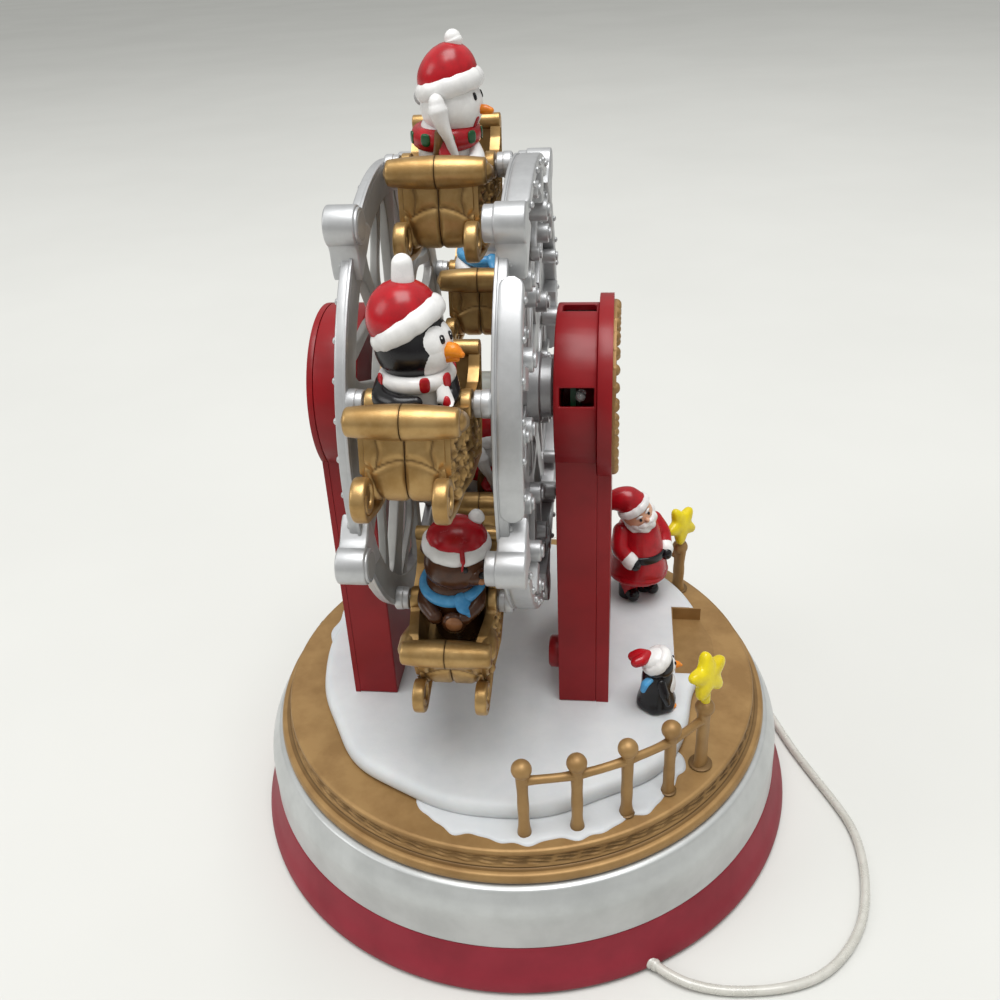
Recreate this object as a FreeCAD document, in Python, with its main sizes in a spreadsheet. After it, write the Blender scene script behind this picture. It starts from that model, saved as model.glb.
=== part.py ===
"""Musical Christmas ferris wheel: a lit, motor driven wheel with five sleigh gondolas on a round base.

Frame: X runs along the wheel's axle, +X towards the front plate with its ring of beads, +Z is up.
The origin is on the surface that the rubber feet stand on, below the middle of the round base.
Angles round the wheel are counted from -Y upwards; angles round the base from +X towards +Y.
"""
import FreeCAD, Part
import Sketcher
import math
import os

Vector = FreeCAD.Vector
Rotation = FreeCAD.Rotation
Placement = FreeCAD.Placement

DOC = FreeCAD.newDocument("ferris_wheel")
SHEET = DOC.addObject("Spreadsheet::Sheet", "sizes")

SIZES = {
    # round base, outer shapes from the bottom up
    "floor_gap": 0.8, "base_radius": 100, "flare_draw": 2.6, "flare_height": 8,
    "red_top_draw": 5, "red_top": 16.6, "rim_wall": 2.6, "rim_top_thick": 2,
    "spigot_height": 3, "spigot_wall": 2, "plate_shelf_width": 4.9, "plate_shelf_thick": 1.8,
    "shelf_step": 0.5, "shelf_slope": 1,
    "bottom_plate_thick": 2.2, "bottom_plate_under": 2, "fit_gap": 0.1, "plate_gap": 0.4, "press_gap": 0.02,
    "silver_step": 0.4, "silver_flare": 0.3, "silver_straight_top": 30, "shoulder_draw": 1.4,
    "shoulder_height": 34.2, "silver_top_draw": 4.1, "silver_top": 39, "silver_wall": 2.3,
    "seat_flange_width": 2.6, "seat_flange_thick": 2, "seat_depth": 2, "seat_ring_width": 2,
    "lip_draw": 1.2, "lip_bottom_gap": 0.6, "lip_height": 3.4, "lip_round": 0.8, "lip_round_height": 0.6,
    "cove_low_draw": 3.3, "cove_low_rise": 0.4, "cove_draw": 4.6, "cove_wall": 2.4,
    "stage_draw": 4.1, "stage_lip_height": 2.3, "stage_lip_under": 1, "stage_height": 49.3,
    "stage_thick": 2.4,
    # snow plateau on the stage
    "snow_inset": 12.2, "snow_height": 6, "snow_skin": 2.2, "snow_pad_length": 64, "snow_pad_width": 24,
    "snow_rim": 9, "snow_column": 8,
    "drift_thick": 0.9, "drift_inset": 2.2, "niche_start": 57, "niche_side": 6.5, "niche_width": 23,
    "niche_length": 30,
    # feet, screws, board and speaker
    "foot_radius": 6.5, "foot_inset": 20, "screw_radius": 1.2, "screw_head_radius": 2.4,
    "screw_head_thick": 1, "screw_inset": 5.7, "screw_depth": 1.5, "screw_gap": 0.05,
    "board_length": 62, "board_width": 44, "board_thick": 1.6, "board_x": -38, "board_y": 14,
    "standoff_radius": 2.8, "standoff_height": 4.8, "standoff_inset": 4.5,
    "speaker_x": 38, "speaker_y": -20, "speaker_radius": 28, "speaker_rim": 1.4, "cone_radius": 24.5,
    "basket_height": 11, "magnet_radius": 13, "magnet_height": 7, "basket_wall": 1.2, "cone_wall": 0.7,
    "grille_hole_radius": 1.6, "grille_pitch": 6,
    # towers
    "axis_height": 162.3, "foot_half": 25.6, "neck_half": 21.2, "tower_wall": 1.8, "tower_foot_thick": 8,
    "front_tower_start": 16.6, "front_tower_depth": 12.7, "drum_radius": 26,
    "plate_thick": 4.2, "plate_radius": 28.8, "plate_skin": 2.2, "plate_rim": 2,
    "rear_tower_start": -54.1, "rear_tower_depth": 13.4, "rear_radius": 26.5, "cover_thick": 1.8,
    "bead_circle": 25.2, "bead_radius": 1.7, "bead_band": 3.2, "bead_band_thick": 0.9, "bead_count": 30,
    "window_width": 5.5, "window_margin": 1, "led_radius": 1.5, "led_length": 5.2, "led_tip": 24.6,
    "led_board_radius": 20, "led_board_thick": 1.6, "led_board_gap": 2.9, "led_boss_radius": 9,
    "cap_radius": 5.6, "cap_thick": 3.6, "cap_side": -16.5, "cap_height": 70,
    "tower_screw_radius": 1.5, "tower_screw_head": 3, "tower_screw_head_thick": 1.6,
    "tower_screw_length": 14, "tower_screw_side": 14, "wire_hole_radius": 3,
    # axle, bearings and motor
    "axle_radius": 3, "axle_front_end": 22.4, "axle_rear_end": -49, "running_gap": 0.05,
    "bush_wall": 2.5, "bush_flange_radius": 7.5, "bush_flange_thick": 1.2,
    "clip_radius": 4.6, "clip_thick": 0.8, "clip_gap": 0.2, "clip_groove": 0.6, "clip_clear": 1,
    "motor_radius": 18, "motor_depth": 10.8, "ear_reach": 22, "ear_width": 8, "ear_thick": 1.2,
    "hub_sleeve_radius": 4, "hub_sleeve_length": 7.6, "motor_screw_radius": 1.2, "motor_screw_circle": 20.3,
    # wheel
    "ring_radius": 69.06, "ring_width": 9.5, "front_ring_start": 4.5, "front_web": 3.4, "band_depth": 7.6,
    "band_width": 4.2, "band_half_angle": 26.5, "rear_ring_start": -34.7, "rear_web": 3.2,
    "hub_radius": 11, "spoke_width": 8.5, "spoke_root": 2, "spoke_overlap": 1.5, "thin_spoke_width": 5,
    "mid_ring_radius": 33, "mid_ring_width": 5, "first_pivot_angle": 21.06, "pivot_circle": 66.72,
    "pivot_boss_radius": 3.4, "pivot_boss_length": 4.2, "pin_radius": 1.5, "pin_reach": 2.2, "pivot_gap": 0.5,
    "lug_circle": 73.8, "lug_radius": 5.2, "lug_depth": 8, "rear_lug_depth": 6,
    "lug_disc_radius": 4.6, "lug_disc_depth": 2.7,
    "lug_root_width": 9, "spacer_radius": 5,
    # sleigh gondolas, measured from the pivot, with the nose towards -Y
    "sleigh_middle": -13.5, "sleigh_half_width": 12, "sleigh_wall": 1.6, "sleigh_floor": 2.4,
    "nose_y": -19, "nose_top": 1, "crease_y": -20.4, "crease_z": -8, "chin_y": -20.8, "chin_z": -14.4,
    "keel_front": -15.5, "keel_back": 12.5, "keel_z": -18, "back_low_y": 17.5, "back_low_z": -4, "back_top_y": 20, "back_top_z": 8.8,
    "side_rail_z": 0.6, "side_rail_front": -6, "side_rail_back": 7,
    "roll_radius": 4.3, "roll_half": 13.5, "roll_y": -19.5, "roll_z": 2.5,
    "head_roll_radius": 2.2, "head_roll_half": 13, "head_roll_y": 18.4, "head_roll_z": 8.6,
    "ear_radius": 3.75, "runner_inner": 7.7, "runner_thick": 3.6, "runner_bottom": -21.4,
    "runner_height": 2.2, "runner_back": 15, "curl_radius": 5.9, "curl_y": -21.5, "curl_z": -15.4,
    "strut_length": 5,
    # riders, measured from the pivot
    "seat_gap": 0.1, "torso_radius": 8.6, "torso_top": 7,
    # fences, stars and figures on the base
    "fence_inset": 6.7, "fence_start": -83.3, "fence_step": 11.9, "post_radius": 2.1, "ball_radius": 3.2,
    "ball_height": 77, "rail_radius": 1.4, "rail_drop": 4.8, "back_fence_angle": 39.4, "back_fence_step": 13,
    "back_ball_height": 70, "star_radius": 8.6, "star_waist": 4.3, "star_thick": 4.6, "star_lift": 0.6,
    "star_peg_radius": 1.1, "santa_inset": 16, "santa_place": 37.9, "santa_height": 54,
    "little_inset": 14.7, "little_place": -31, "little_height": 30,
    # controls on the hidden side of the silver band
    "control_height": 24.5, "switch_angle": 128, "switch_travel": 4, "switch_case_length": 13,
    "switch_case_depth": 5, "switch_case_height": 7, "slider_width": 3.4, "slider_height": 3,
    "slider_proud": 1.9, "slider_gap": 0.25,
    "volume_angle": 154, "knob_radius": 6.5, "knob_depth": 6, "knob_gap": 0.5, "stem_radius": 3,
    "stem_inside": 6, "pot_width": 9, "pot_depth": 8,
    # cord, strain relief and plug
    "cord_radius": 1.5, "gland_radius": 2.4, "gland_length": 11, "gland_taper": 4, "gland_tip_radius": 1.8,
    "exit_height": 2.6, "exit_out": 1.4, "exit_place": -60, "exit_angle": -35, "exit_run": 7,
    "cord_height": 1.6,
    "coil_x": 12, "coil_out": 28, "coil_inner_radius": 10.2, "coil_pitch": 3.5, "coil_turns": 8.25,
    "plug_lead": 21,
    "plug_length": 22, "plug_width": 15, "plug_thick": 10, "plug_shell_length": 12, "plug_shell_width": 12,
    "plug_shell_thick": 4.5,
}


class Size:
    """A number together with the sheet expression that gives it."""

    def __init__(self, value, text):
        self.value = float(value)
        self.text = text

    def __float__(self):
        return self.value

    def __add__(self, other):
        other = as_size(other)
        return Size(self.value + other.value, f"({self.text} + {other.text})")

    def __sub__(self, other):
        other = as_size(other)
        return Size(self.value - other.value, f"({self.text} - {other.text})")

    def __mul__(self, other):
        other = as_size(other)
        return Size(self.value * other.value, f"({self.text} * {other.text})")

    def __truediv__(self, other):
        other = as_size(other)
        return Size(self.value / other.value, f"({self.text} / {other.text})")

    def __neg__(self):
        return Size(-self.value, f"(0 - {self.text})")

    def __radd__(self, other):
        return as_size(other) + self

    def __rsub__(self, other):
        return as_size(other) - self

    def __rmul__(self, other):
        return as_size(other) * self


def as_size(value):
    return value if isinstance(value, Size) else Size(value, f"({float(value):.6f})")


def root(size):
    return Size(math.sqrt(size.value), f"sqrt({size.text})")


def cosine(angle):
    angle = as_size(angle)
    return Size(math.cos(math.radians(angle.value)), f"cos({angle.text})")


def sine(angle):
    angle = as_size(angle)
    return Size(math.sin(math.radians(angle.value)), f"sin({angle.text})")


class Sizes:
    """Reads a driving dimension from the sheet by its alias."""

    def __getattr__(self, alias):
        return Size(getattr(SHEET, alias), f"sizes.{alias}")


def fill_sheet():
    for row, (alias, value) in enumerate(SIZES.items(), start=1):
        SHEET.set(f"A{row}", alias)
        SHEET.set(f"B{row}", str(value))
        SHEET.setAlias(f"B{row}", alias)
    DOC.recompute()


fill_sheet()
S = Sizes()
PIECES = {}

ALONG_X = Rotation(Vector(1, 1, 1), 120)
UPRIGHT = Rotation(Vector(1, 0, 0), 90)


def finished(name, obj):
    """Registers a document object as the sub-part of that name."""
    obj.Label = name
    PIECES[name] = obj
    return obj


def bind(obj, prop, size):
    obj.setExpression(prop, as_size(size).text)


def place(obj, at, turn=Rotation()):
    obj.Placement = Placement(Vector(*[float(as_size(v)) for v in at]), turn)
    for axis, value in zip("xyz", at):
        bind(obj, f"Placement.Base.{axis}", value)
    return obj


def box(name, length, width, height, at, turn=Rotation()):
    obj = DOC.addObject("Part::Box", name)
    for prop, value in (("Length", length), ("Width", width), ("Height", height)):
        bind(obj, prop, value)
    return place(obj, at, turn)


def cylinder(name, radius, height, at, turn=Rotation(), angle=360):
    obj = DOC.addObject("Part::Cylinder", name)
    bind(obj, "Radius", radius)
    bind(obj, "Height", height)
    bind(obj, "Angle", angle)
    return place(obj, at, turn)


def cone(name, radius_low, radius_high, height, at, turn=Rotation()):
    obj = DOC.addObject("Part::Cone", name)
    bind(obj, "Radius1", radius_low)
    bind(obj, "Radius2", radius_high)
    bind(obj, "Height", height)
    return place(obj, at, turn)


def sphere(name, radius, at):
    obj = DOC.addObject("Part::Sphere", name)
    bind(obj, "Radius", radius)
    return place(obj, at)


def fuse(name, parts):
    obj = DOC.addObject("Part::MultiFuse", name)
    obj.Shapes = parts
    obj.Refine = True
    return obj


def gather(name, parts):
    obj = DOC.addObject("Part::Compound", name)
    obj.Links = parts
    return obj


def cut(name, base, tools):
    obj = DOC.addObject("Part::Cut", name)
    obj.Base = base
    obj.Tool = tools[0] if len(tools) == 1 else gather(f"{name}_tools", tools)
    return obj


def feature(name, shape, placement=Placement()):
    obj = DOC.addObject("Part::Feature", name)
    obj.Shape = shape
    obj.Placement = placement
    return obj


def sketch_on(owner, name, role, offset=0):
    """An empty sketch on one of the body's own origin planes, moved along the plane's normal."""
    sketch = owner.newObject("Sketcher::SketchObject", name)
    plane = [item for item in owner.Origin.OriginFeatures if item.Role == role][0]
    sketch.AttachmentSupport = [(plane, "")]
    sketch.MapMode = "FlatFace"
    bind(sketch, "AttachmentOffset.Base.z", offset)
    return sketch


def pin_point(sketch, edge, end, x, y):
    """Holds one end of an edge at a place given by two sheet expressions."""
    for kind, size in (("DistanceX", as_size(x)), ("DistanceY", as_size(y))):
        number = sketch.addConstraint(Sketcher.Constraint(kind, -1, 1, edge, end, size.value))
        sketch.setExpression(f"Constraints[{number}]", size.text)


def draw(sketch, corners):
    """Closed outline through (x, y) corners; (x, y, (mid_x, mid_y, radius)) starts an arc to the next one."""
    spots = [Vector(float(as_size(c[0])), float(as_size(c[1])), 0) for c in corners]
    edges = []
    for index, corner in enumerate(corners):
        start, end = spots[index], spots[(index + 1) % len(spots)]
        if len(corner) == 3:
            mid = Vector(float(as_size(corner[2][0])), float(as_size(corner[2][1])), 0)
            edges.append(sketch.addGeometry(Part.Arc(start, mid, end)))
        else:
            edges.append(sketch.addGeometry(Part.LineSegment(start, end)))
    for index, edge in enumerate(edges):
        sketch.addConstraint(Sketcher.Constraint("Coincident", edge, 2, edges[(index + 1) % len(edges)], 1))
    for edge, corner in zip(edges, corners):
        pin_point(sketch, edge, 1, corner[0], corner[1])
        if len(corner) == 3:
            radius = as_size(corner[2][2])
            number = sketch.addConstraint(Sketcher.Constraint("Radius", edge, radius.value))
            sketch.setExpression(f"Constraints[{number}]", radius.text)
    return sketch


def revolved(name, corners):
    """A body turned round Z from an outline of (radius, height) corners."""
    owner = DOC.addObject("PartDesign::Body", name)
    sketch = draw(sketch_on(owner, f"{name}_profile", "XZ_Plane"), corners)
    turned = owner.newObject("PartDesign::Revolution", f"{name}_revolution")
    turned.Profile = sketch
    turned.ReferenceAxis = (sketch, ["V_Axis"])
    turned.Angle = 360
    return owner


def padded_outline(name, corners, start, depth, plane="YZ_Plane"):
    """A body padded from an outline; on the YZ plane corners are (y, z) and the pad runs towards +X."""
    owner = DOC.addObject("PartDesign::Body", name)
    sketch = draw(sketch_on(owner, f"{name}_outline", plane, start), corners)
    pad = owner.newObject("PartDesign::Pad", f"{name}_pad")
    pad.Profile = sketch
    bind(pad, "Length", depth)
    return owner


def pocket_outline(owner, name, corners, start, depth, forwards=False, plane="YZ_Plane"):
    """Hollows a body from an outline; forwards cuts along the plane's normal."""
    sketch = draw(sketch_on(owner, f"{name}_outline", plane, start), corners)
    pocket = owner.newObject("PartDesign::Pocket", f"{name}_pocket")
    pocket.Profile = sketch
    pocket.Reversed = forwards
    bind(pocket, "Length", depth)
    return owner


def polar(radius, angle, height):
    """A point of the base given by its radius and its angle from +X."""
    return (radius * cosine(angle), radius * sine(angle), height)


def about_z(angle):
    return Rotation(Vector(0, 0, 1), float(as_size(angle)))


# Round base

FLARE_RADIUS = S.base_radius - S.flare_draw
RED_TOP_RADIUS = S.base_radius - S.red_top_draw
SHELF_RADIUS = S.base_radius - S.rim_wall - S.shelf_step
SILVER_RADIUS = RED_TOP_RADIUS - S.silver_step
SILVER_TOP_RADIUS = SILVER_RADIUS - S.silver_top_draw
BAND_INNER = SILVER_RADIUS - S.silver_wall
LIP_RADIUS = SILVER_TOP_RADIUS - S.lip_draw
COVE_RADIUS = LIP_RADIUS - S.cove_draw
STAGE_RADIUS = LIP_RADIUS - S.stage_draw
SNOW_RADIUS = STAGE_RADIUS - S.snow_inset
FENCE_CIRCLE = STAGE_RADIUS - S.fence_inset
SCREW_CIRCLE = S.base_radius - S.screw_inset
PLATE_TOP = S.bottom_plate_under + S.bottom_plate_thick
SPIGOT_RADIUS = BAND_INNER - S.fit_gap
STAGE_UNDER = S.stage_height - S.stage_thick
SNOW_TOP = S.stage_height + S.snow_height
SANTA_SPOT = polar(SNOW_RADIUS - S.santa_inset, S.santa_place, SNOW_TOP)
LITTLE_SPOT = polar(SNOW_RADIUS - S.little_inset, S.little_place, SNOW_TOP)
FOOT_ANGLES = (30, 120, 210, 285)
SCREW_ANGLES = (0, 72, 144, 216, 262)
TOWER_MIDDLES = (
    S.front_tower_start + S.front_tower_depth / 2,
    S.rear_tower_start + S.rear_tower_depth / 2,
)


def along_exit(distance):
    """A point on the cord's line through the rim, that far outside its exit."""
    x, y, z = polar(S.base_radius + S.exit_out, S.exit_place, S.exit_height)
    return (x + distance * cosine(S.exit_angle), y + distance * sine(S.exit_angle), z)


def exit_slot(name):
    """The slot that the strain relief passes through, open towards the floor."""
    turn = Rotation(Vector(0, 0, 1), float(S.exit_angle)) * Rotation(Vector(0, 1, 0), 90)
    radius = S.gland_radius + S.running_gap
    length = S.gland_length + 4
    start = along_exit(-(S.gland_length))
    round_top = cylinder(f"{name}_round", radius, length, start, turn)
    side = Rotation(Vector(0, 0, 1), float(S.exit_angle))
    corner = (
        start[0] + radius * sine(S.exit_angle),
        start[1] - radius * cosine(S.exit_angle),
        as_size(0) - S.exit_height,
    )
    straight = box(f"{name}_straight", length, radius * 2, S.exit_height * 2, corner, side)
    return fuse(name, [round_top, straight])


def screw_holes(name, radius, height, low):
    return [
        cylinder(f"{name}_{angle}", radius, height, polar(SCREW_CIRCLE, angle, low))
        for angle in SCREW_ANGLES
    ]


def make_lower_shell():
    """The flared red ring that carries everything, with a shelf for the bottom plate."""
    shelf_inner = SHELF_RADIUS - S.plate_shelf_width
    shelf_top = PLATE_TOP + S.plate_shelf_thick
    spigot_inner = SPIGOT_RADIUS - S.spigot_wall
    rim_under = S.red_top - S.rim_top_thick
    corners = [
        (S.base_radius, S.floor_gap),
        (FLARE_RADIUS, S.flare_height),
        (RED_TOP_RADIUS, S.red_top),
        (SPIGOT_RADIUS, S.red_top),
        (SPIGOT_RADIUS, S.red_top + S.spigot_height),
        (spigot_inner, S.red_top + S.spigot_height),
        (spigot_inner, rim_under),
        (RED_TOP_RADIUS - S.rim_wall, rim_under),
        (FLARE_RADIUS - S.rim_wall, S.flare_height),
        (SHELF_RADIUS - S.shelf_slope, shelf_top),
        (shelf_inner, shelf_top),
        (shelf_inner, PLATE_TOP),
        (SHELF_RADIUS, PLATE_TOP),
        (S.base_radius - S.rim_wall, S.floor_gap),
    ]
    ring = revolved("lower_shell_ring", corners)
    holes = screw_holes("shelf_hole", S.screw_radius + S.screw_gap, S.screw_depth, PLATE_TOP)
    return cut("lower_shell_cut", ring, [exit_slot("shell_slot")] + holes)


def make_silver_band():
    """The bright band between the red ring and the gold stage, with the two control openings."""
    inner = BAND_INNER
    seat_inner = SILVER_TOP_RADIUS - S.silver_wall
    flange_inner = seat_inner - S.seat_flange_width
    seat = S.silver_top - S.seat_depth
    corners = [
        (SILVER_RADIUS + S.silver_flare, S.red_top),
        (SILVER_RADIUS, S.silver_straight_top),
        (SILVER_RADIUS - S.shoulder_draw, S.shoulder_height),
        (SILVER_TOP_RADIUS, S.silver_top),
        (seat_inner, S.silver_top),
        (seat_inner, seat),
        (flange_inner, seat),
        (flange_inner, seat - S.seat_flange_thick),
        (seat_inner, seat - S.seat_flange_thick),
        (inner, S.silver_straight_top - 1),
        (inner, S.red_top),
    ]
    ring = revolved("silver_band_ring", corners)
    slot_width = S.slider_width + S.switch_travel + S.slider_gap * 2
    slot_height = S.slider_height + S.slider_gap * 2
    near = inner - 3
    slot_corner = (
        near * cosine(S.switch_angle) + slot_width / 2 * sine(S.switch_angle),
        near * sine(S.switch_angle) - slot_width / 2 * cosine(S.switch_angle),
        S.control_height - slot_height / 2,
    )
    slot = box(
        "switch_slot", S.silver_wall + 8, slot_width, slot_height, slot_corner, about_z(S.switch_angle),
    )
    lying = about_z(S.volume_angle) * Rotation(Vector(0, 1, 0), 90)
    stem_hole = cylinder(
        "stem_hole", S.stem_radius + S.slider_gap, S.silver_wall + 6,
        polar(near, S.volume_angle, S.control_height), lying,
    )
    return cut("silver_band_cut", ring, [slot, stem_hole])


def tower_fixings(name, low, height):
    """Screw and wire holes below both towers, from a lower level upwards."""
    tools = []
    for index, middle in enumerate(TOWER_MIDDLES):
        for side in (-1, 1):
            at = (middle, S.tower_screw_side * side, low)
            radius = S.tower_screw_radius + S.screw_gap
            tools.append(cylinder(f"{name}_{index}_{side + 1}", radius, height, at))
        tools.append(cylinder(f"{name}_{index}_wire", S.wire_hole_radius, height, (middle, 0, low)))
    return tools


def make_stage_ring():
    """The gold deck with its lower lip, cove and upper lip, seated in the silver band."""
    seat_outer = SILVER_TOP_RADIUS - S.silver_wall - S.fit_gap
    lip_low = S.silver_top + S.lip_bottom_gap
    upper_low = S.stage_height - S.stage_lip_height
    corners = [
        (0, S.stage_height),
        (STAGE_RADIUS, S.stage_height),
        (STAGE_RADIUS, upper_low),
        (COVE_RADIUS, upper_low - S.stage_lip_under),
        (LIP_RADIUS - S.cove_low_draw, lip_low + S.lip_height + S.cove_low_rise),
        (LIP_RADIUS - S.lip_round, lip_low + S.lip_height),
        (LIP_RADIUS, lip_low + S.lip_round_height),
        (LIP_RADIUS, lip_low),
        (seat_outer, lip_low),
        (seat_outer, S.silver_top - S.seat_depth),
        (seat_outer - S.seat_ring_width, S.silver_top - S.seat_depth),
        (COVE_RADIUS - S.cove_wall, lip_low + S.lip_height),
        (COVE_RADIUS - S.cove_wall, STAGE_UNDER),
        (0, STAGE_UNDER),
    ]
    deck = revolved("stage_deck", corners)
    return cut("stage_ring_cut", deck, tower_fixings("deck_hole", STAGE_UNDER, S.stage_thick))


def snow_edge(radius, angle):
    """Radius of the plateau's uneven edge at an angle in degrees."""
    turn = math.radians(angle)
    wave = 0.9 * math.sin(3 * turn + 0.6) + 0.6 * math.sin(8 * turn + 1.1) + 0.4 * math.sin(13 * turn)
    bulge = 3.4 * math.exp(-((angle - 62) / 26) ** 2)
    return radius + wave + bulge


def closed_curve(points):
    curve = Part.BSplineCurve()
    curve.interpolate(Points=points, PeriodicFlag=True)
    return Part.Face(Part.Wire([curve.toShape()]))


def snow_slab(name, low):
    points = []
    for step in range(60):
        angle = -180 + 6 * step
        radius = snow_edge(float(SNOW_RADIUS), angle)
        turn = math.radians(angle)
        points.append(Vector(radius * math.cos(turn), radius * math.sin(turn), low))
    return feature(name, closed_curve(points).extrude(Vector(0, 0, float(S.snow_height))))


def drift_slab(name, start, end, reach):
    """A thin snow patch on the deck beyond the plateau, with a ragged outer edge."""
    inner = float(SNOW_RADIUS - S.snow_height)
    count = max(4, round((end - start) / 5))
    outer = []
    for step in range(count + 1):
        share = step / count
        angle = math.radians(start + (end - start) * share)
        swell = math.sin(math.pi * share) ** 0.35
        ragged = 1.1 * math.sin(9 * share * math.pi) * math.sin(math.pi * share)
        radius = inner + (float(reach) - inner) * swell + ragged
        outer.append(Vector(radius * math.cos(angle), radius * math.sin(angle), float(S.stage_height)))
    rim = Part.BSplineCurve()
    rim.interpolate(Points=outer)
    back = Part.LineSegment(outer[-1], outer[0])
    face = Part.Face(Part.Wire([rim.toShape(), back.toShape()]))
    return feature(name, face.extrude(Vector(0, 0, float(S.drift_thick))))


def make_snow_stage():
    """The white plateau: a shell with solid pads below the towers, a niche at its edge and low drifts."""
    slab = snow_slab("snow_slab", float(S.stage_height))
    drifts = [
        drift_slab("front_drift", -110, -36, STAGE_RADIUS - S.drift_inset),
        drift_slab("left_drift", 140, 176, STAGE_RADIUS - S.drift_inset - 3),
        drift_slab("back_drift", 40, 82, STAGE_RADIUS - S.drift_inset - 1),
    ]
    whole = fuse("snow_whole", [slab] + drifts)
    hollow_height = S.snow_height - S.snow_skin
    hollow = cylinder("snow_hollow", SNOW_RADIUS - S.snow_rim, hollow_height, (0, 0, S.stage_height))
    pads = [
        box(
            f"snow_pad_{index}", S.snow_pad_width, S.snow_pad_length, hollow_height,
            (middle - S.snow_pad_width / 2, -(S.snow_pad_length) / 2, S.stage_height),
        )
        for index, middle in enumerate(TOWER_MIDDLES)
    ]
    standing = [
        cylinder(f"snow_column_{index}", S.snow_column, hollow_height, (x, y, S.stage_height))
        for index, (x, y, _) in enumerate((SANTA_SPOT, LITTLE_SPOT))
    ]
    empty = cut("snow_empty", hollow, pads + standing)
    niche = box(
        "snow_niche", S.niche_length, S.niche_width, S.snow_height,
        (S.niche_start, S.niche_side, S.stage_height),
    )
    shell = cut("snow_shell", whole, [empty])
    opened = cut("snow_opened", shell, [niche])
    holes = tower_fixings("snow_hole", S.stage_height, S.snow_height)
    posts = []
    for index, (angle, _) in enumerate(fence_posts()):
        posts.append(cylinder(
            f"snow_post_hole_{index}", S.post_radius + S.screw_gap, S.snow_height,
            polar(FENCE_CIRCLE, angle, S.stage_height),
        ))
    for index, (angle, _) in enumerate(back_posts()):
        posts.append(cylinder(
            f"snow_back_hole_{index}", S.post_radius + S.screw_gap, S.snow_height,
            polar(FENCE_CIRCLE, angle, S.stage_height),
        ))
    return cut("snow_stage_cut", opened, holes + posts)


def make_bottom_plate():
    """The round cover below, with the sound holes and the standoffs of the circuit board."""
    disc = cylinder(
        "plate_disc", SHELF_RADIUS - S.plate_gap, S.bottom_plate_thick,
        (0, 0, S.bottom_plate_under),
    )
    standoffs = [
        cylinder(f"standoff_{index}", S.standoff_radius, S.standoff_height, (x, y, PLATE_TOP))
        for index, (x, y) in enumerate(board_corners())
    ]
    plate = fuse("plate_fused", [disc] + standoffs)
    middle = (S.speaker_x, S.speaker_y, S.bottom_plate_under)
    holes = [cylinder("grille_0", S.grille_hole_radius, S.bottom_plate_thick, middle)]
    for ring in (1, 2, 3):
        for step in range(6 * ring):
            angle = 60 * step / ring
            at = (
                S.speaker_x + S.grille_pitch * ring * cosine(angle),
                S.speaker_y + S.grille_pitch * ring * sine(angle),
                S.bottom_plate_under,
            )
            holes.append(cylinder(f"grille_{ring}_{step}", S.grille_hole_radius, S.bottom_plate_thick, at))
    holes += screw_holes(
        "plate_hole", S.screw_radius + S.screw_gap, S.bottom_plate_thick, S.bottom_plate_under,
    )
    return cut("bottom_plate_cut", plate, holes + [exit_slot("plate_slot")])


def board_corners():
    half_length = S.board_length / 2 - S.standoff_inset
    half_width = S.board_width / 2 - S.standoff_inset
    return [
        (S.board_x + half_length * x, S.board_y + half_width * y)
        for x in (-1, 1) for y in (-1, 1)
    ]


def make_rubber_feet():
    circle = S.base_radius - S.foot_inset
    return gather("feet", [
        cylinder(f"foot_{angle}", S.foot_radius, S.bottom_plate_under, polar(circle, angle, 0))
        for angle in FOOT_ANGLES
    ])


def make_bottom_screws():
    screws = []
    for angle in SCREW_ANGLES:
        low = S.bottom_plate_under - S.screw_head_thick
        head = cylinder(
            f"head_{angle}", S.screw_head_radius, S.screw_head_thick, polar(SCREW_CIRCLE, angle, low),
        )
        shank = cylinder(
            f"shank_{angle}", S.screw_radius, S.bottom_plate_thick + S.screw_depth - S.fit_gap,
            polar(SCREW_CIRCLE, angle, S.bottom_plate_under),
        )
        screws.append(fuse(f"screw_{angle}", [head, shank]))
    return gather("screws", screws)


BOARD_LOW = PLATE_TOP + S.standoff_height
BOARD_TOP = BOARD_LOW + S.board_thick


def make_circuit_board():
    return box(
        "board", S.board_length, S.board_width, S.board_thick,
        (S.board_x - S.board_length / 2, S.board_y - S.board_width / 2, BOARD_LOW),
    )


def make_board_parts():
    """Sound and light controller, power driver, three capacitors and a row of wire sockets."""
    chip = box("chip", 14, 14, 2, (S.board_x - 16, S.board_y - 4, BOARD_TOP))
    driver = box("driver", 8, 6, 2, (S.board_x + 6, S.board_y + 4, BOARD_TOP))
    sockets = [
        box(f"socket_{n}", 7, 5, 6, (S.board_x - 24 + 11 * n, S.board_y - 19, BOARD_TOP)) for n in range(3)
    ]
    cans = [
        cylinder(f"capacitor_{n}", 3.2, 9, (S.board_x + 14, S.board_y - 12 + 9 * n, BOARD_TOP))
        for n in range(3)
    ]
    return gather("parts_on_board", [chip, driver] + sockets + cans)


def make_speaker_frame():
    """Pressed basket and magnet, rim down on the bottom plate."""
    low = PLATE_TOP
    rim_top = low + S.speaker_rim
    throat = low + S.basket_height
    corners = [
        (S.cone_radius + 0.6, low),
        (S.speaker_radius, low),
        (S.speaker_radius, rim_top),
        (S.cone_radius + 1.4, rim_top),
        (S.magnet_radius - 1, throat + S.basket_wall),
        (S.magnet_radius, throat + S.basket_wall),
        (S.magnet_radius, throat + S.basket_wall + S.magnet_height),
        (0, throat + S.basket_wall + S.magnet_height),
        (0, throat),
        (S.magnet_radius - 2, throat),
        (S.cone_radius + 0.6, rim_top - 0.4),
    ]
    frame = revolved("basket", corners)
    return place(frame, (S.speaker_x, S.speaker_y, 0))


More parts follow.
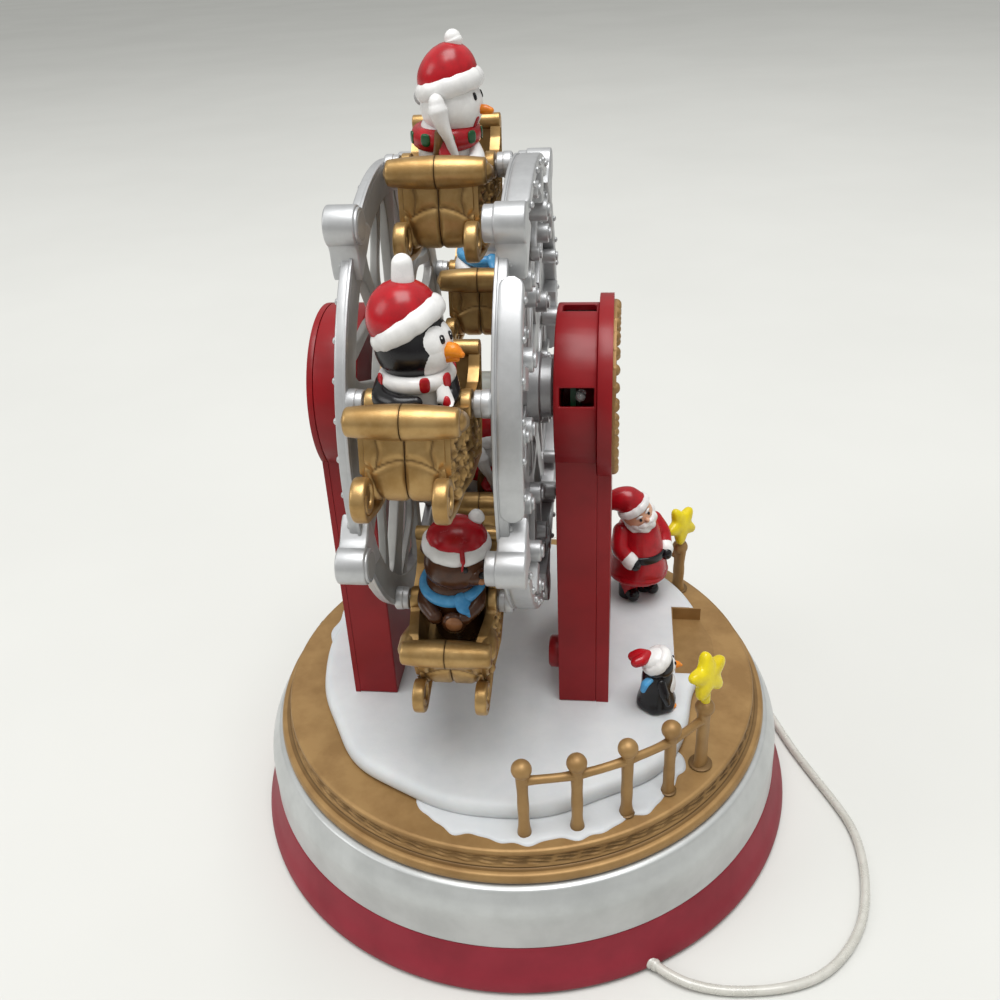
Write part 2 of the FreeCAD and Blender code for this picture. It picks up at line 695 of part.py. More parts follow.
def make_speaker_cone():
    low = PLATE_TOP + 0.3
    apex = PLATE_TOP + S.basket_height - S.cone_wall - 1
    corners = [
        (S.cone_radius + 0.5, low),
        (S.cone_radius + 0.5, low + S.cone_wall),
        (S.cone_radius - 1, low + S.cone_wall),
        (6, apex + S.cone_wall),
        (0, apex + S.cone_wall),
        (0, apex),
        (6, apex),
        (S.cone_radius - 1, low),
    ]
    return place(revolved("paper_cone", corners), (S.speaker_x, S.speaker_y, 0))


def make_cord_gland():
    """Rubber strain relief in the rim's slot, tapering to the cord."""
    turn = Rotation(Vector(0, 0, 1), float(S.exit_angle)) * Rotation(Vector(0, 1, 0), 90)
    straight = cylinder(
        "gland_body", S.gland_radius, S.gland_length - S.gland_taper, along_exit(-(S.gland_length)), turn,
    )
    nose = cone(
        "gland_nose", S.gland_radius, S.gland_tip_radius, S.gland_taper, along_exit(-(S.gland_taper)), turn,
    )
    return fuse("gland_fused", [straight, nose])


# Controls

def make_switch_case():
    angle = S.switch_angle
    outer = root(BAND_INNER * BAND_INNER - S.switch_case_length * S.switch_case_length / 4)
    near = outer - S.switch_case_depth
    half = S.switch_case_length / 2
    corner = (
        near * cosine(angle) + half * sine(angle),
        near * sine(angle) - half * cosine(angle),
        S.control_height - S.switch_case_height / 2,
    )
    case = box(
        "switch_box", S.switch_case_depth, S.switch_case_length, S.switch_case_height, corner, about_z(angle),
    )
    slot_width = S.slider_width + S.switch_travel + S.slider_gap * 2
    slot_height = S.slider_height + S.slider_gap * 2
    start = near + 1.5
    slot_corner = (
        start * cosine(angle) + slot_width / 2 * sine(angle),
        start * sine(angle) - slot_width / 2 * cosine(angle),
        S.control_height - slot_height / 2,
    )
    slot = box("case_slot", S.switch_case_depth, slot_width, slot_height, slot_corner, about_z(angle))
    return cut("switch_case_cut", case, [slot])


def make_switch_slider():
    """The slider at the off end of its slot."""
    angle = S.switch_angle
    outer = root(BAND_INNER * BAND_INNER - S.switch_case_length * S.switch_case_length / 4)
    start = outer - S.switch_case_depth + 1.5 + S.slider_gap
    side = S.slider_width / 2 + S.switch_travel / 2
    corner = (
        start * cosine(angle) + side * sine(angle),
        start * sine(angle) - side * cosine(angle),
        S.control_height - S.slider_height / 2,
    )
    length = SILVER_RADIUS + S.slider_proud - start
    return box("slider", length, S.slider_width, S.slider_height, corner, about_z(angle))


def make_volume_case():
    angle = S.volume_angle
    half = S.pot_width / 2
    outer = root(BAND_INNER * BAND_INNER - half * half)
    near = outer - S.pot_depth
    corner = (
        near * cosine(angle) + half * sine(angle),
        near * sine(angle) - half * cosine(angle),
        S.control_height - half,
    )
    case = box("pot_box", S.pot_depth, S.pot_width, S.pot_width, corner, about_z(angle))
    lying = about_z(angle) * Rotation(Vector(0, 1, 0), 90)
    bore = cylinder(
        "pot_bore", S.stem_radius + S.running_gap, S.stem_inside + 2,
        polar(outer - S.stem_inside, angle, S.control_height), lying,
    )
    return cut("volume_case_cut", case, [bore])


def make_volume_knob():
    angle = S.volume_angle
    half = S.pot_width / 2
    outer = root(BAND_INNER * BAND_INNER - half * half)
    start = outer - S.stem_inside + 0.3
    knob_low = SILVER_RADIUS + S.knob_gap
    lying = about_z(angle) * Rotation(Vector(0, 1, 0), 90)
    stem = cylinder("stem", S.stem_radius, knob_low - start, polar(start, angle, S.control_height), lying)
    knob = cylinder("knob", S.knob_radius, S.knob_depth, polar(knob_low, angle, S.control_height), lying)
    return fuse("volume_knob_fused", [stem, knob])


# Towers

def keyhole(radius, foot_z, inset=0):
    """Leg with a round head: (y, z) corners, drawn in by the inset on every side but the foot."""
    round_radius = radius - inset
    neck = S.neck_half - inset
    drop = root(round_radius * round_radius - neck * neck)
    foot = S.foot_half - inset
    return [
        (-(foot), foot_z),
        (foot, foot_z),
        (neck, S.axis_height - drop, (0, S.axis_height + round_radius, round_radius)),
        (-(neck), S.axis_height - drop),
    ]


FRONT_OPEN = S.front_tower_start + S.front_tower_depth
REAR_INNER = S.rear_tower_start + S.rear_tower_depth


def across(radius, angle):
    """(y, z) of a point of the wheel's plane, its angle counted from -Y upwards."""
    return (-(radius * cosine(angle)), S.axis_height + radius * sine(angle))


def make_front_tower():
    """Leg and drum with the light windows, open towards the front plate."""
    outline = keyhole(S.drum_radius, SNOW_TOP)
    shell = padded_outline("front_leg", outline, S.front_tower_start, S.front_tower_depth)
    hollow_depth = S.front_tower_depth - S.tower_wall
    pocket_outline(
        shell, "front_hollow", keyhole(S.drum_radius, SNOW_TOP + S.tower_foot_thick, S.tower_wall),
        FRONT_OPEN, hollow_depth,
    )
    wall_face = S.front_tower_start + S.tower_wall
    boss = cylinder(
        "led_boss", S.led_boss_radius, S.led_board_gap, (wall_face, 0, S.axis_height), ALONG_X,
    )
    whole = fuse("front_tower_whole", [shell, boss])
    bore_radius = S.axle_radius + S.running_gap + S.bush_wall
    tools = [cylinder(
        "front_bush_hole", bore_radius, S.tower_wall + S.led_board_gap,
        (S.front_tower_start, 0, S.axis_height), ALONG_X,
    )]
    for angle in LED_ANGLES:
        tools.append(window_tool(f"window_{angle}", angle))
    tools += tower_fixings("front_foot_hole", SNOW_TOP, S.tower_foot_thick)
    return cut("front_tower_cut", whole, tools)


LED_ANGLES = (18, 90, 162)


def window_tool(name, angle):
    """A box through the drum's rim, square to it at that angle."""
    turned = Rotation(Vector(1, 0, 0), float(180 - angle))
    inner = S.drum_radius - 6
    y, z = across(inner, angle)
    half = S.window_width / 2
    corner = (
        S.front_tower_start + S.tower_wall,
        y + half * sine(180 - angle),
        z - half * cosine(180 - angle),
    )
    depth = S.front_tower_depth - S.tower_wall - S.window_margin
    return box(name, depth, 10, S.window_width, corner, turned)


def make_front_plate():
    """Keyhole cover with a rim that closes the front tower."""
    plate = padded_outline("keyhole_plate", keyhole(S.plate_radius, SNOW_TOP), FRONT_OPEN, S.plate_thick)
    return pocket_outline(
        plate, "plate_hollow", keyhole(S.plate_radius, SNOW_TOP + S.plate_rim, S.plate_rim),
        FRONT_OPEN, S.plate_thick - S.plate_skin, forwards=True,
    )


def make_bead_ring():
    """Gold band with a row of half beads on the face of the front plate."""
    face = FRONT_OPEN + S.plate_thick
    middle = (face, 0, S.axis_height)
    outer = cylinder("bead_outer", S.bead_circle + S.bead_band / 2, S.bead_band_thick, middle, ALONG_X)
    inner = cylinder("bead_inner", S.bead_circle - S.bead_band / 2, S.bead_band_thick, middle, ALONG_X)
    band = cut("bead_band_ring", outer, [inner])
    count = round(float(S.bead_count))
    beads = []
    for step in range(count):
        y, z = across(S.bead_circle, 360 * step / count)
        beads.append(sphere(f"bead_{step}", S.bead_radius, (face + S.bead_band_thick / 2, y, z)))
    whole = fuse("beads_on_band", [band] + beads)
    behind = box("bead_trim", 10, 90, 90, (face - 10, -45, S.axis_height - 45))
    return cut("bead_ring_cut", whole, [behind])


def make_led_board():
    low = S.front_tower_start + S.tower_wall + S.led_board_gap
    middle = (low, 0, S.axis_height)
    disc = cylinder("led_disc", S.led_board_radius, S.led_board_thick, middle, ALONG_X)
    hole = cylinder("led_disc_hole", S.clip_radius + S.clip_clear, S.led_board_thick, middle, ALONG_X)
    return cut("led_board_cut", disc, [hole])


def make_front_leds():
    """Three clear lamps lying on their board, each pointing out of its window."""
    x = S.front_tower_start + S.tower_wall + S.led_board_gap + S.led_board_thick + S.led_radius
    lamps = []
    for angle in LED_ANGLES:
        start = S.led_tip - S.led_radius - S.led_length
        y, z = across(start, angle)
        outward = Vector(0, -math.cos(math.radians(angle)), math.sin(math.radians(angle)))
        turn = Rotation(Vector(0, 0, 1), outward)
        stem = cylinder(f"lamp_{angle}", S.led_radius, S.led_length, (x, y, z), turn)
        tip_y, tip_z = across(start + S.led_length, angle)
        dome = sphere(f"dome_{angle}", S.led_radius, (x, tip_y, tip_z))
        lamps.append(fuse(f"led_{angle}", [stem, dome]))
    return gather("leds", lamps)


def make_boss_cap():
    """Round dark cap over the fixing on the tower's inner face."""
    at = (S.front_tower_start - S.cap_thick, S.cap_side, S.cap_height)
    disc = cylinder("cap_disc", S.cap_radius, S.cap_thick, at, ALONG_X)
    rounded = DOC.addObject("Part::Chamfer", "cap_rounded")
    rounded.Base = disc
    DOC.recompute()
    low = float(S.front_tower_start - S.cap_thick)
    edges = [n + 1 for n, edge in enumerate(disc.Shape.Edges) if abs(edge.CenterOfMass.x - low) < 0.01]
    rounded.Edges = [(n, 0.8, 0.8) for n in edges]
    return rounded


def make_rear_tower():
    """Leg and head for the motor, open towards the rear cover."""
    outline = keyhole(S.rear_radius, SNOW_TOP)
    shell = padded_outline("rear_leg", outline, S.rear_tower_start, S.rear_tower_depth)
    pocket_outline(
        shell, "rear_hollow", keyhole(S.rear_radius, SNOW_TOP + S.tower_foot_thick, S.tower_wall),
        S.rear_tower_start, S.rear_tower_depth - S.tower_wall, forwards=True,
    )
    bore_radius = S.axle_radius + S.running_gap + S.bush_wall
    wall_face = REAR_INNER - S.tower_wall
    bore = cylinder("rear_bush_hole", bore_radius, S.tower_wall, (wall_face, 0, S.axis_height), ALONG_X)
    tools = [bore] + motor_screw_holes("rear_wall_hole", wall_face, S.tower_wall)
    tools += tower_fixings("rear_foot_hole", SNOW_TOP, S.tower_foot_thick)
    return cut("rear_tower_cut", shell, tools)


def make_rear_cover():
    return padded_outline(
        "rear_lid", keyhole(S.rear_radius, SNOW_TOP), S.rear_tower_start - S.cover_thick, S.cover_thick,
    )


def motor_screw_holes(name, low, depth):
    return [
        cylinder(
            f"{name}_{side + 1}", S.motor_screw_radius + S.screw_gap, depth,
            (low, S.motor_screw_circle * side, S.axis_height), ALONG_X,
        )
        for side in (-1, 1)
    ]


MOTOR_FACE = REAR_INNER - S.tower_wall


def make_drive_motor():
    """Flat geared motor on the inside of the rear tower's wall, with two ears and a bore for its sleeve."""
    can_start = (MOTOR_FACE - S.motor_depth, 0, S.axis_height)
    can = cylinder("motor_can", S.motor_radius, S.motor_depth, can_start, ALONG_X)
    ears = box(
        "motor_ears", S.ear_thick, S.ear_reach * 2, S.ear_width,
        (MOTOR_FACE - S.ear_thick, -(S.ear_reach), S.axis_height - S.ear_width / 2),
    )
    whole = fuse("motor_whole", [can, ears])
    bore = cylinder(
        "motor_bore", S.hub_sleeve_radius + S.running_gap, S.hub_sleeve_length + 0.4,
        (MOTOR_FACE - S.hub_sleeve_length - 0.4, 0, S.axis_height), ALONG_X,
    )
    ear_holes = motor_screw_holes("ear_hole", MOTOR_FACE - S.ear_thick, S.ear_thick)
    return cut("drive_motor_cut", whole, [bore] + ear_holes)


def make_motor_screws():
    screws = []
    for side in (-1, 1):
        low = MOTOR_FACE - S.ear_thick
        head = cylinder(
            f"motor_head_{side + 1}", S.screw_head_radius - 0.4, S.screw_head_thick,
            (low - S.screw_head_thick, S.motor_screw_circle * side, S.axis_height), ALONG_X,
        )
        shank = cylinder(
            f"motor_shank_{side + 1}", S.motor_screw_radius, S.ear_thick + S.tower_wall - 0.3,
            (low, S.motor_screw_circle * side, S.axis_height), ALONG_X,
        )
        screws.append(fuse(f"motor_screw_{side + 1}", [head, shank]))
    return gather("motor_screw_pair", screws)


def make_tower_screws():
    screws = []
    for index, middle in enumerate(TOWER_MIDDLES):
        for side in (-1, 1):
            mark = f"{index}_{side + 1}"
            y = S.tower_screw_side * side
            head_thick = S.tower_screw_head_thick
            head_at = (middle, y, STAGE_UNDER - head_thick)
            head = cylinder(f"tower_head_{mark}", S.tower_screw_head, head_thick, head_at)
            radius, length = S.tower_screw_radius, S.tower_screw_length
            shank = cylinder(f"tower_shank_{mark}", radius, length, (middle, y, STAGE_UNDER))
            screws.append(fuse(f"tower_screw_{mark}", [head, shank]))
    return gather("tower_screw_set", screws)


def bush(name, flange_start, body_start, body_length):
    """Flanged plastic bearing for the axle."""
    radius = S.axle_radius + S.running_gap + S.bush_wall - S.screw_gap
    body = cylinder(f"{name}_body", radius, body_length, (body_start, 0, S.axis_height), ALONG_X)
    flange_at = (flange_start, 0, S.axis_height)
    flange = cylinder(f"{name}_flange", S.bush_flange_radius, S.bush_flange_thick, flange_at, ALONG_X)
    bore_start = body_start if flange_start.value > body_start.value else flange_start
    bore = cylinder(
        f"{name}_bore", S.axle_radius + S.running_gap, body_length + S.bush_flange_thick,
        (bore_start, 0, S.axis_height), ALONG_X,
    )
    return cut(f"{name}_cut", fuse(f"{name}_whole", [body, flange]), [bore])


# Wheel

def lying_cylinder(name, radius, start, depth, angle=0, circle=0, sweep=360):
    """A disc of the wheel from a start along X, its middle on a circle round the axle."""
    y, z = across(as_size(circle), angle)
    return cylinder(name, radius, depth, (start, y, z), ALONG_X, sweep)


def radial_bar(name, inner, outer, width, start, depth, angle):
    """A bar of the wheel that runs outwards between two radii."""
    local = 180 - as_size(angle)
    half = as_size(width) / 2
    corner = (
        as_size(start),
        inner * cosine(local) + half * sine(local),
        S.axis_height + inner * sine(local) - half * cosine(local),
    )
    turn = Rotation(Vector(1, 0, 0), float(local))
    return box(name, depth, outer - inner, width, corner, turn)


def ring(name, outer, width, start, depth):
    disc = lying_cylinder(f"{name}_disc", outer, start, depth)
    hole = lying_cylinder(f"{name}_hole", outer - width, start, depth)
    return cut(name, disc, [hole])


def pivot_angle(number):
    return S.first_pivot_angle + 72 * number


def make_wheel(name, web, hub, boss_start, bore_start, lug_start, disc_start, bands=False):
    """One silver side of the wheel: rim, spokes, hub, pivot bosses, lugs and, at the front, the raised bands.

    web and hub are (start, depth) along X.
    """
    web_start, web_depth = web
    hub_start, hub_depth = hub
    inner = S.ring_radius - S.ring_width
    parts = [
        ring(f"{name}_rim", S.ring_radius, S.ring_width, web_start, web_depth),
        ring(f"{name}_mid", S.mid_ring_radius, S.mid_ring_width, web_start, web_depth),
        lying_cylinder(f"{name}_hub", S.hub_radius, hub_start, hub_depth),
    ]
    for number in range(5):
        pivot = pivot_angle(number)
        lug = pivot + 36
        reach = inner + S.spoke_overlap
        root_radius = S.hub_radius - S.spoke_root
        parts += [
            radial_bar(f"{name}_spoke_{number}", root_radius, reach, S.spoke_width, *web, pivot),
            radial_bar(f"{name}_thin_{number}", root_radius, reach, S.thin_spoke_width, *web, lug),
            lying_cylinder(
                f"{name}_boss_{number}", S.pivot_boss_radius, boss_start, S.pivot_boss_length, pivot,
                S.pivot_circle,
            ),
            radial_bar(
                f"{name}_tab_{number}", S.ring_radius - 3, S.lug_circle, S.lug_root_width, lug_start,
                S.lug_depth, lug,
            ),
            lying_cylinder(f"{name}_lug_{number}", S.lug_radius, lug_start, S.lug_depth, lug, S.lug_circle),
            lying_cylinder(
                f"{name}_lug_disc_{number}", S.lug_disc_radius, disc_start, S.lug_disc_depth, lug,
                S.lug_circle,
            ),
        ]
        if bands:
            parts.append(rim_band(f"{name}_band_{number}", web_start, pivot))
    whole = fuse(f"{name}_whole", parts)
    tools = [lying_cylinder(
        f"{name}_axle_bore", S.axle_radius + S.press_gap, hub_start, hub_depth,
    )]
    for number in range(5):
        tools.append(lying_cylinder(
            f"{name}_pin_bore_{number}", S.pin_radius + S.running_gap, bore_start,
            S.pivot_boss_length + S.pin_reach, pivot_angle(number), S.pivot_circle,
        ))
    return cut(f"{name}_cut", whole, tools)


def rim_band(name, start, pivot):
    """The raised stretch of the front rim on both sides of a pivot."""
    first = 180 - as_size(pivot) - S.band_half_angle
    turn = ALONG_X * about_z(first)
    at = (as_size(start), as_size(0), S.axis_height)
    outer = cylinder(f"{name}_outer", S.ring_radius, S.band_depth, at, turn, S.band_half_angle * 2)
    inner = lying_cylinder(f"{name}_inner", S.ring_radius - S.band_width, start, S.band_depth)
    return cut(name, outer, [inner])


FRONT_PIVOT_FACE = S.front_ring_start - S.pivot_boss_length
REAR_WEB_FACE = S.rear_ring_start + S.rear_web
REAR_PIVOT_FACE = REAR_WEB_FACE + S.pivot_boss_length
FRONT_BUSH_FACE = S.front_tower_start - S.bush_flange_thick
REAR_BUSH_FACE = REAR_INNER + S.bush_flange_thick


def make_front_wheel():
    start = S.front_ring_start
    hub_depth = FRONT_BUSH_FACE - start - S.clip_gap
    return make_wheel(
        "front_wheel", (start, S.front_web), (start, hub_depth), FRONT_PIVOT_FACE, FRONT_PIVOT_FACE,
        start, start - S.lug_disc_depth, bands=True,
    )


def make_rear_wheel():
    hub_start = REAR_BUSH_FACE + S.clip_gap
    hub_depth = REAR_WEB_FACE - hub_start
    return make_wheel(
        "rear_wheel", (S.rear_ring_start, S.rear_web), (hub_start, hub_depth), REAR_WEB_FACE,
        REAR_WEB_FACE - S.pin_reach, REAR_WEB_FACE - S.rear_lug_depth, REAR_WEB_FACE,
    )


def make_axle():
    rod = lying_cylinder("axle_rod", S.axle_radius, S.axle_rear_end, S.axle_front_end - S.axle_rear_end)
    groove_start = CLIP_START - S.press_gap
    groove_width = S.clip_thick + S.press_gap * 2
    groove = ring("axle_groove", S.axle_radius + 1, S.clip_groove + 1, groove_start, groove_width)
    return cut("axle_cut", rod, [groove])


FRONT_BUSH_LENGTH = S.tower_wall + S.led_board_gap
CLIP_START = S.front_tower_start + FRONT_BUSH_LENGTH + S.clip_gap


def make_axle_clip():
    disc = lying_cylinder("clip_disc", S.clip_radius, CLIP_START, S.clip_thick)
    hole = lying_cylinder("clip_hole", S.axle_radius - S.clip_groove + S.press_gap, CLIP_START, S.clip_thick)
    return cut("axle_clip_cut", disc, [hole])


def make_hub_spacer():
    """Tube on the axle that keeps the two wheel sides apart."""
    length = S.front_ring_start - REAR_WEB_FACE
    tube = lying_cylinder("spacer_tube", S.spacer_radius, REAR_WEB_FACE, length)
    bore = lying_cylinder("spacer_bore", S.axle_radius + S.press_gap, REAR_WEB_FACE, length)
    return cut("hub_spacer_cut", tube, [bore])


def make_drive_sleeve():
    """The motor's output sleeve, keyed on the axle's end."""
    start = MOTOR_FACE - S.hub_sleeve_length
    sleeve = lying_cylinder("sleeve_tube", S.hub_sleeve_radius, start, S.hub_sleeve_length)
    bore_radius = S.axle_radius + S.press_gap
    bore = lying_cylinder("sleeve_bore", bore_radius, S.axle_rear_end, S.hub_sleeve_length + 4)
    return cut("drive_sleeve_cut", sleeve, [bore])


# Gondolas

TILTS = (-5.5, 0, 0, 0, 25)


def gondola_placement(number):
    y, z = across(S.pivot_circle, pivot_angle(number))
    middle = Vector(float(S.sleigh_middle), float(y), float(z))
    return Placement(middle, Rotation(Vector(1, 0, 0), TILTS[number]))


def sleigh_outer():
    return [
        (S.nose_y, S.nose_top),
        (S.crease_y, S.crease_z),
        (S.chin_y, S.chin_z),
        (S.keel_front, S.keel_z),
        (S.keel_back, S.keel_z),
        (S.back_low_y, S.back_low_z),
        (S.back_top_y, S.back_top_z),
        (S.back_top_y - 3, S.back_top_z + 1),
        (S.back_low_y - 4, S.side_rail_z + 1.6),
        (S.side_rail_back, S.side_rail_z),
        (S.side_rail_front, S.side_rail_z),
        (S.nose_y + 4, S.nose_top + 2.6),
    ]


def sleigh_inner():
    floor = S.keel_z + S.sleigh_floor
    high = S.back_top_z + 12
    return [
        (S.nose_y + 2.6, high),
        (S.nose_y + 2.6, S.nose_top - 2),
        (S.crease_y + 2.6, S.crease_z),
        (S.chin_y + 2.6, S.chin_z + 0.8),
        (S.keel_front + 1.2, floor),
        (S.keel_back - 1.2, floor),
        (S.back_low_y - 2.4, S.back_low_z),
        (S.back_top_y - 3.4, S.back_top_z - 2),
        (S.back_top_y - 3.4, high),
    ]


def make_sleigh_half(number, side):
    """Half of a cast sleigh, from its seam outwards; side is 1 for the front half and -1 for the rear."""
    name = f"sleigh_{number}_{'front' if side > 0 else 'rear'}"

    def slab(label, corners, inner, outer):
        start = as_size(inner) if side > 0 else -(as_size(outer))
        return padded_outline(f"{name}_{label}", corners, start, as_size(outer) - as_size(inner))

    def bar(label, radius, inner, outer, y, z):
        start = as_size(inner) if side > 0 else -(as_size(outer))
        return cylinder(f"{name}_{label}", radius, as_size(outer) - as_size(inner), (start, y, z), ALONG_X)

    def block(label, inner, outer, y, z, width, height):
        start = as_size(inner) if side > 0 else -(as_size(outer))
        return box(f"{name}_{label}", as_size(outer) - as_size(inner), width, height, (start, y, z))

    trough = cut(
        f"{name}_trough",
        slab("body", sleigh_outer(), 0, S.sleigh_half_width),
        [slab("inside", sleigh_inner(), 0, S.sleigh_half_width - S.sleigh_wall)],
    )
    runner_outer = S.runner_inner + S.runner_thick
    ear_face = FRONT_PIVOT_FACE - S.sleigh_middle - S.pivot_gap if side > 0 else (
        S.sleigh_middle - REAR_PIVOT_FACE - S.pivot_gap)
    pin_end = ear_face + S.pivot_gap + S.pivot_boss_length + S.pin_reach - 0.3
    strut_top = S.keel_z + 0.4
    parts = [
        trough,
        bar("roll", S.roll_radius, 0, S.roll_half, S.roll_y, S.roll_z),
        bar("head_roll", S.head_roll_radius, 0, S.head_roll_half, S.head_roll_y, S.head_roll_z),
        bar("ear", S.ear_radius, S.sleigh_half_width - S.sleigh_wall, ear_face, 0, 0),
        bar("pin", S.pin_radius, ear_face - 1, pin_end, 0, 0),
        bar("curl", S.curl_radius, S.runner_inner, runner_outer, S.curl_y, S.curl_z),
        block(
            "runner", S.runner_inner, runner_outer, S.curl_y, S.runner_bottom,
            S.runner_back - S.curl_y, S.runner_height,
        ),
        block(
            "strut_front", S.runner_inner, S.sleigh_half_width - 0.2, S.keel_front + 1, S.runner_bottom + 1,
            S.strut_length, strut_top - S.runner_bottom - 1,
        ),
        block(
            "strut_back", S.runner_inner, S.sleigh_half_width - 0.2, S.keel_back - S.strut_length - 1,
            S.runner_bottom + 1, S.strut_length, strut_top - S.runner_bottom - 1,
        ),
    ]
    half = fuse(f"{name}_whole", parts)
    half.Refine = False
    half.Placement = gondola_placement(number)
    return half


def ball(x, y, z, radius):
    return Part.makeSphere(radius, Vector(x, y, z))


def rod(start, end, low_radius, high_radius):
    """A round tapered limb between two points."""
    a, b = Vector(*start), Vector(*end)
    way = b - a
    if abs(low_radius - high_radius) < 0.01:
        return Part.makeCylinder(low_radius, way.Length, a, way)
    return Part.makeCone(low_radius, high_radius, way.Length, a, way)


def joined(shapes):
    return shapes[0].multiFuse(shapes[1:])


def rider_torso(radius, top):
    """Seated body from the sleigh's floor upwards, clear of its walls."""
    low = float(S.keel_z + S.sleigh_floor + S.seat_gap)
    base = Part.makeCylinder(radius, top - low, Vector(0, 1, low))
    return base.fuse(ball(0, 1, top, radius)).removeSplitter()


def facing(angle, reach, height):
    """A point that far out of the head's middle; 0 looks along -Y, 90 along +X."""
    turn = math.radians(angle)
    return (reach * math.sin(turn), -reach * math.cos(turn), height)


def hat(middle, tilt, brim, height, bobble, sway=(0, 0)):
    """Knitted hat: rolled brim, dome and a bobble off its middle, leaning by the tilt in degrees."""
    roll = Part.makeTorus(brim - 1.4, 2.6, Vector(0, 0, 0), Vector(0, 0, 1))
    core = Part.makeCylinder(brim - 1.4, 4.4, Vector(0, 0, -2.2))
    dome = Part.makeCone(brim - 0.6, brim * 0.62, height * 0.62, Vector(0, 0, 0.6))
    crown = ball(0, 0, height * 0.62 - 0.6, brim * 0.66)
    x, y = sway
    puff_top = (x, y, height + bobble * 0.6)
    puff = rod((x * 0.6, y * 0.6, height * 0.6), puff_top, bobble * 0.8, bobble * 0.9)
    tip = ball(x, y, height + bobble * 0.7, bobble)
    whole = joined([roll, core, dome, crown, puff, tip])
    whole.Placement = Placement(Vector(*middle), Rotation(Vector(0, 1, 0), tilt))
    return whole


def rider_penguin():
    top = float(S.torso_top)
    head = ball(-0.4, 0, 15.4, 9.6)
    beak = rod(facing(62, 6.5, 14.2), facing(62, 13.6, 14.2), 3.2, 1.0)
    cap = hat((-1.2, 0, 19.8), -28, 9.4, 11.8, 2.7, (6, 0))
    wings = [rod((side * 7.5, 0, 5.5), (side * 4.5, -9, 2.4), 2.6, 1.8) for side in (-1, 1)]
    return joined([rider_torso(float(S.torso_radius), top), head, beak, cap] + wings)


def rider_snowman():
    top = float(S.torso_top)
    head = ball(2.0, 0, 16.2, 8.8)
    nose = rod(facing(84, 9.5, 15), facing(84, 13.4, 14.6), 1.5, 0.6)
    nose.translate(Vector(-0.6, 0, 0))
    cap = hat((1.8, 0, 21.4), -12, 8.8, 9.2, 2.6, (4, 0))
    stick = rod((0.6, -7.8, 3), (1.4, -10.0, 11.5), 1.3, 1.3)
    mitten = rod((1.4, -10.2, 11), (-0.2, -10.0, 19), 2.6, 1.9)
    tip = ball(-0.2, -10.0, 19, 2.0)
    return joined([rider_torso(float(S.torso_radius), top), head, nose, cap, stick, mitten, tip])


def rider_bear(lean=0):
    """Bear with cap and arms, leaning back from the hips by that angle."""
    hips = rider_torso(float(S.torso_radius), 2)
    chest = ball(0, 0, 6.5, 8.4)
    head = ball(1.2, 0, 14.2, 9.4)
    snout = ball(*facing(46, 8.2, 12.2), 4.2)
    snout.translate(Vector(1.2, 0, 0))
    cap = hat((2.0, 0.8, 20.6), 4, 9.6, 7.6, 2.6, (5, 3))
    ears = [ball(1.2 + side * 8.4, 1.4, 18.2, 2.6) for side in (-1, 1)]
    arms = [rod((side * 7.0, -1, 4.5), (side * 4.2, -10.0, 0.2), 2.8, 2.4) for side in (-1, 1)]
    upper = joined([chest, head, snout, cap] + ears + arms)
    upper.rotate(Vector(0, 0, 0), Vector(1, 0, 0), -lean)
    return joined([hips, upper])


def make_rider(number):
    makers = (rider_penguin, rider_snowman, rider_bear, rider_snowman, lambda: rider_bear(TILTS[4]))
    return feature(f"rider_shape_{number + 1}", makers[number](), gondola_placement(number))


# Fences, stars and figures on the stage

def fence_posts():
    """(angle, height of the ball's middle) of the five posts at the front of the stage."""
    heights = (0, 0, 0, -1.2, -2.8)
    return [(S.fence_start + S.fence_step * n, S.ball_height + heights[n]) for n in range(5)]


def back_posts():
    return [(S.back_fence_angle + S.back_fence_step * n, S.back_ball_height) for n in range(2)]


def fence(name, posts):
    """Posts with balls on top, joined by one rail below the balls."""
    parts = []
    rail_points = []
    for index, (angle, ball_z) in enumerate(posts):
        foot = polar(FENCE_CIRCLE, angle, S.stage_height)
        parts.append(cylinder(f"{name}_post_{index}", S.post_radius, ball_z - S.stage_height, foot))
        parts.append(sphere(f"{name}_ball_{index}", S.ball_radius, polar(FENCE_CIRCLE, angle, ball_z)))
        rail_points.append(Vector(*[float(v) for v in polar(FENCE_CIRCLE, angle, ball_z - S.rail_drop)]))
    for index, (a, b) in enumerate(zip(rail_points, rail_points[1:])):
        rail = Part.makeCylinder(float(S.rail_radius), (b - a).Length, a, b - a)
        parts.append(feature(f"{name}_rail_{index}", rail))
    return fuse(f"{name}_fused", parts)


def star_solid(middle, facing_angle, tilt):
    """Five pointed star with bevelled faces: a pyramid on each side of its outline."""
    outer, waist, half = float(S.star_radius), float(S.star_waist), float(S.star_thick) / 2
    rim = []
    for step in range(10):
        radius = outer if step % 2 == 0 else waist
        turn = math.radians(90 + 36 * step)
        rim.append(Vector(0, radius * math.cos(turn), radius * math.sin(turn)))
    faces = []
    for apex in (Vector(half, 0, 0), Vector(-half, 0, 0)):
        for start, end in zip(rim, rim[1:] + rim[:1]):
            faces.append(Part.Face(Part.makePolygon([start, end, apex, start])))
    solid = Part.Solid(Part.Shell(faces))
    if solid.Volume < 0:
        solid.reverse()
    solid.Placement = Placement(middle, about_z(facing_angle) * Rotation(Vector(1, 0, 0), tilt))
    return solid


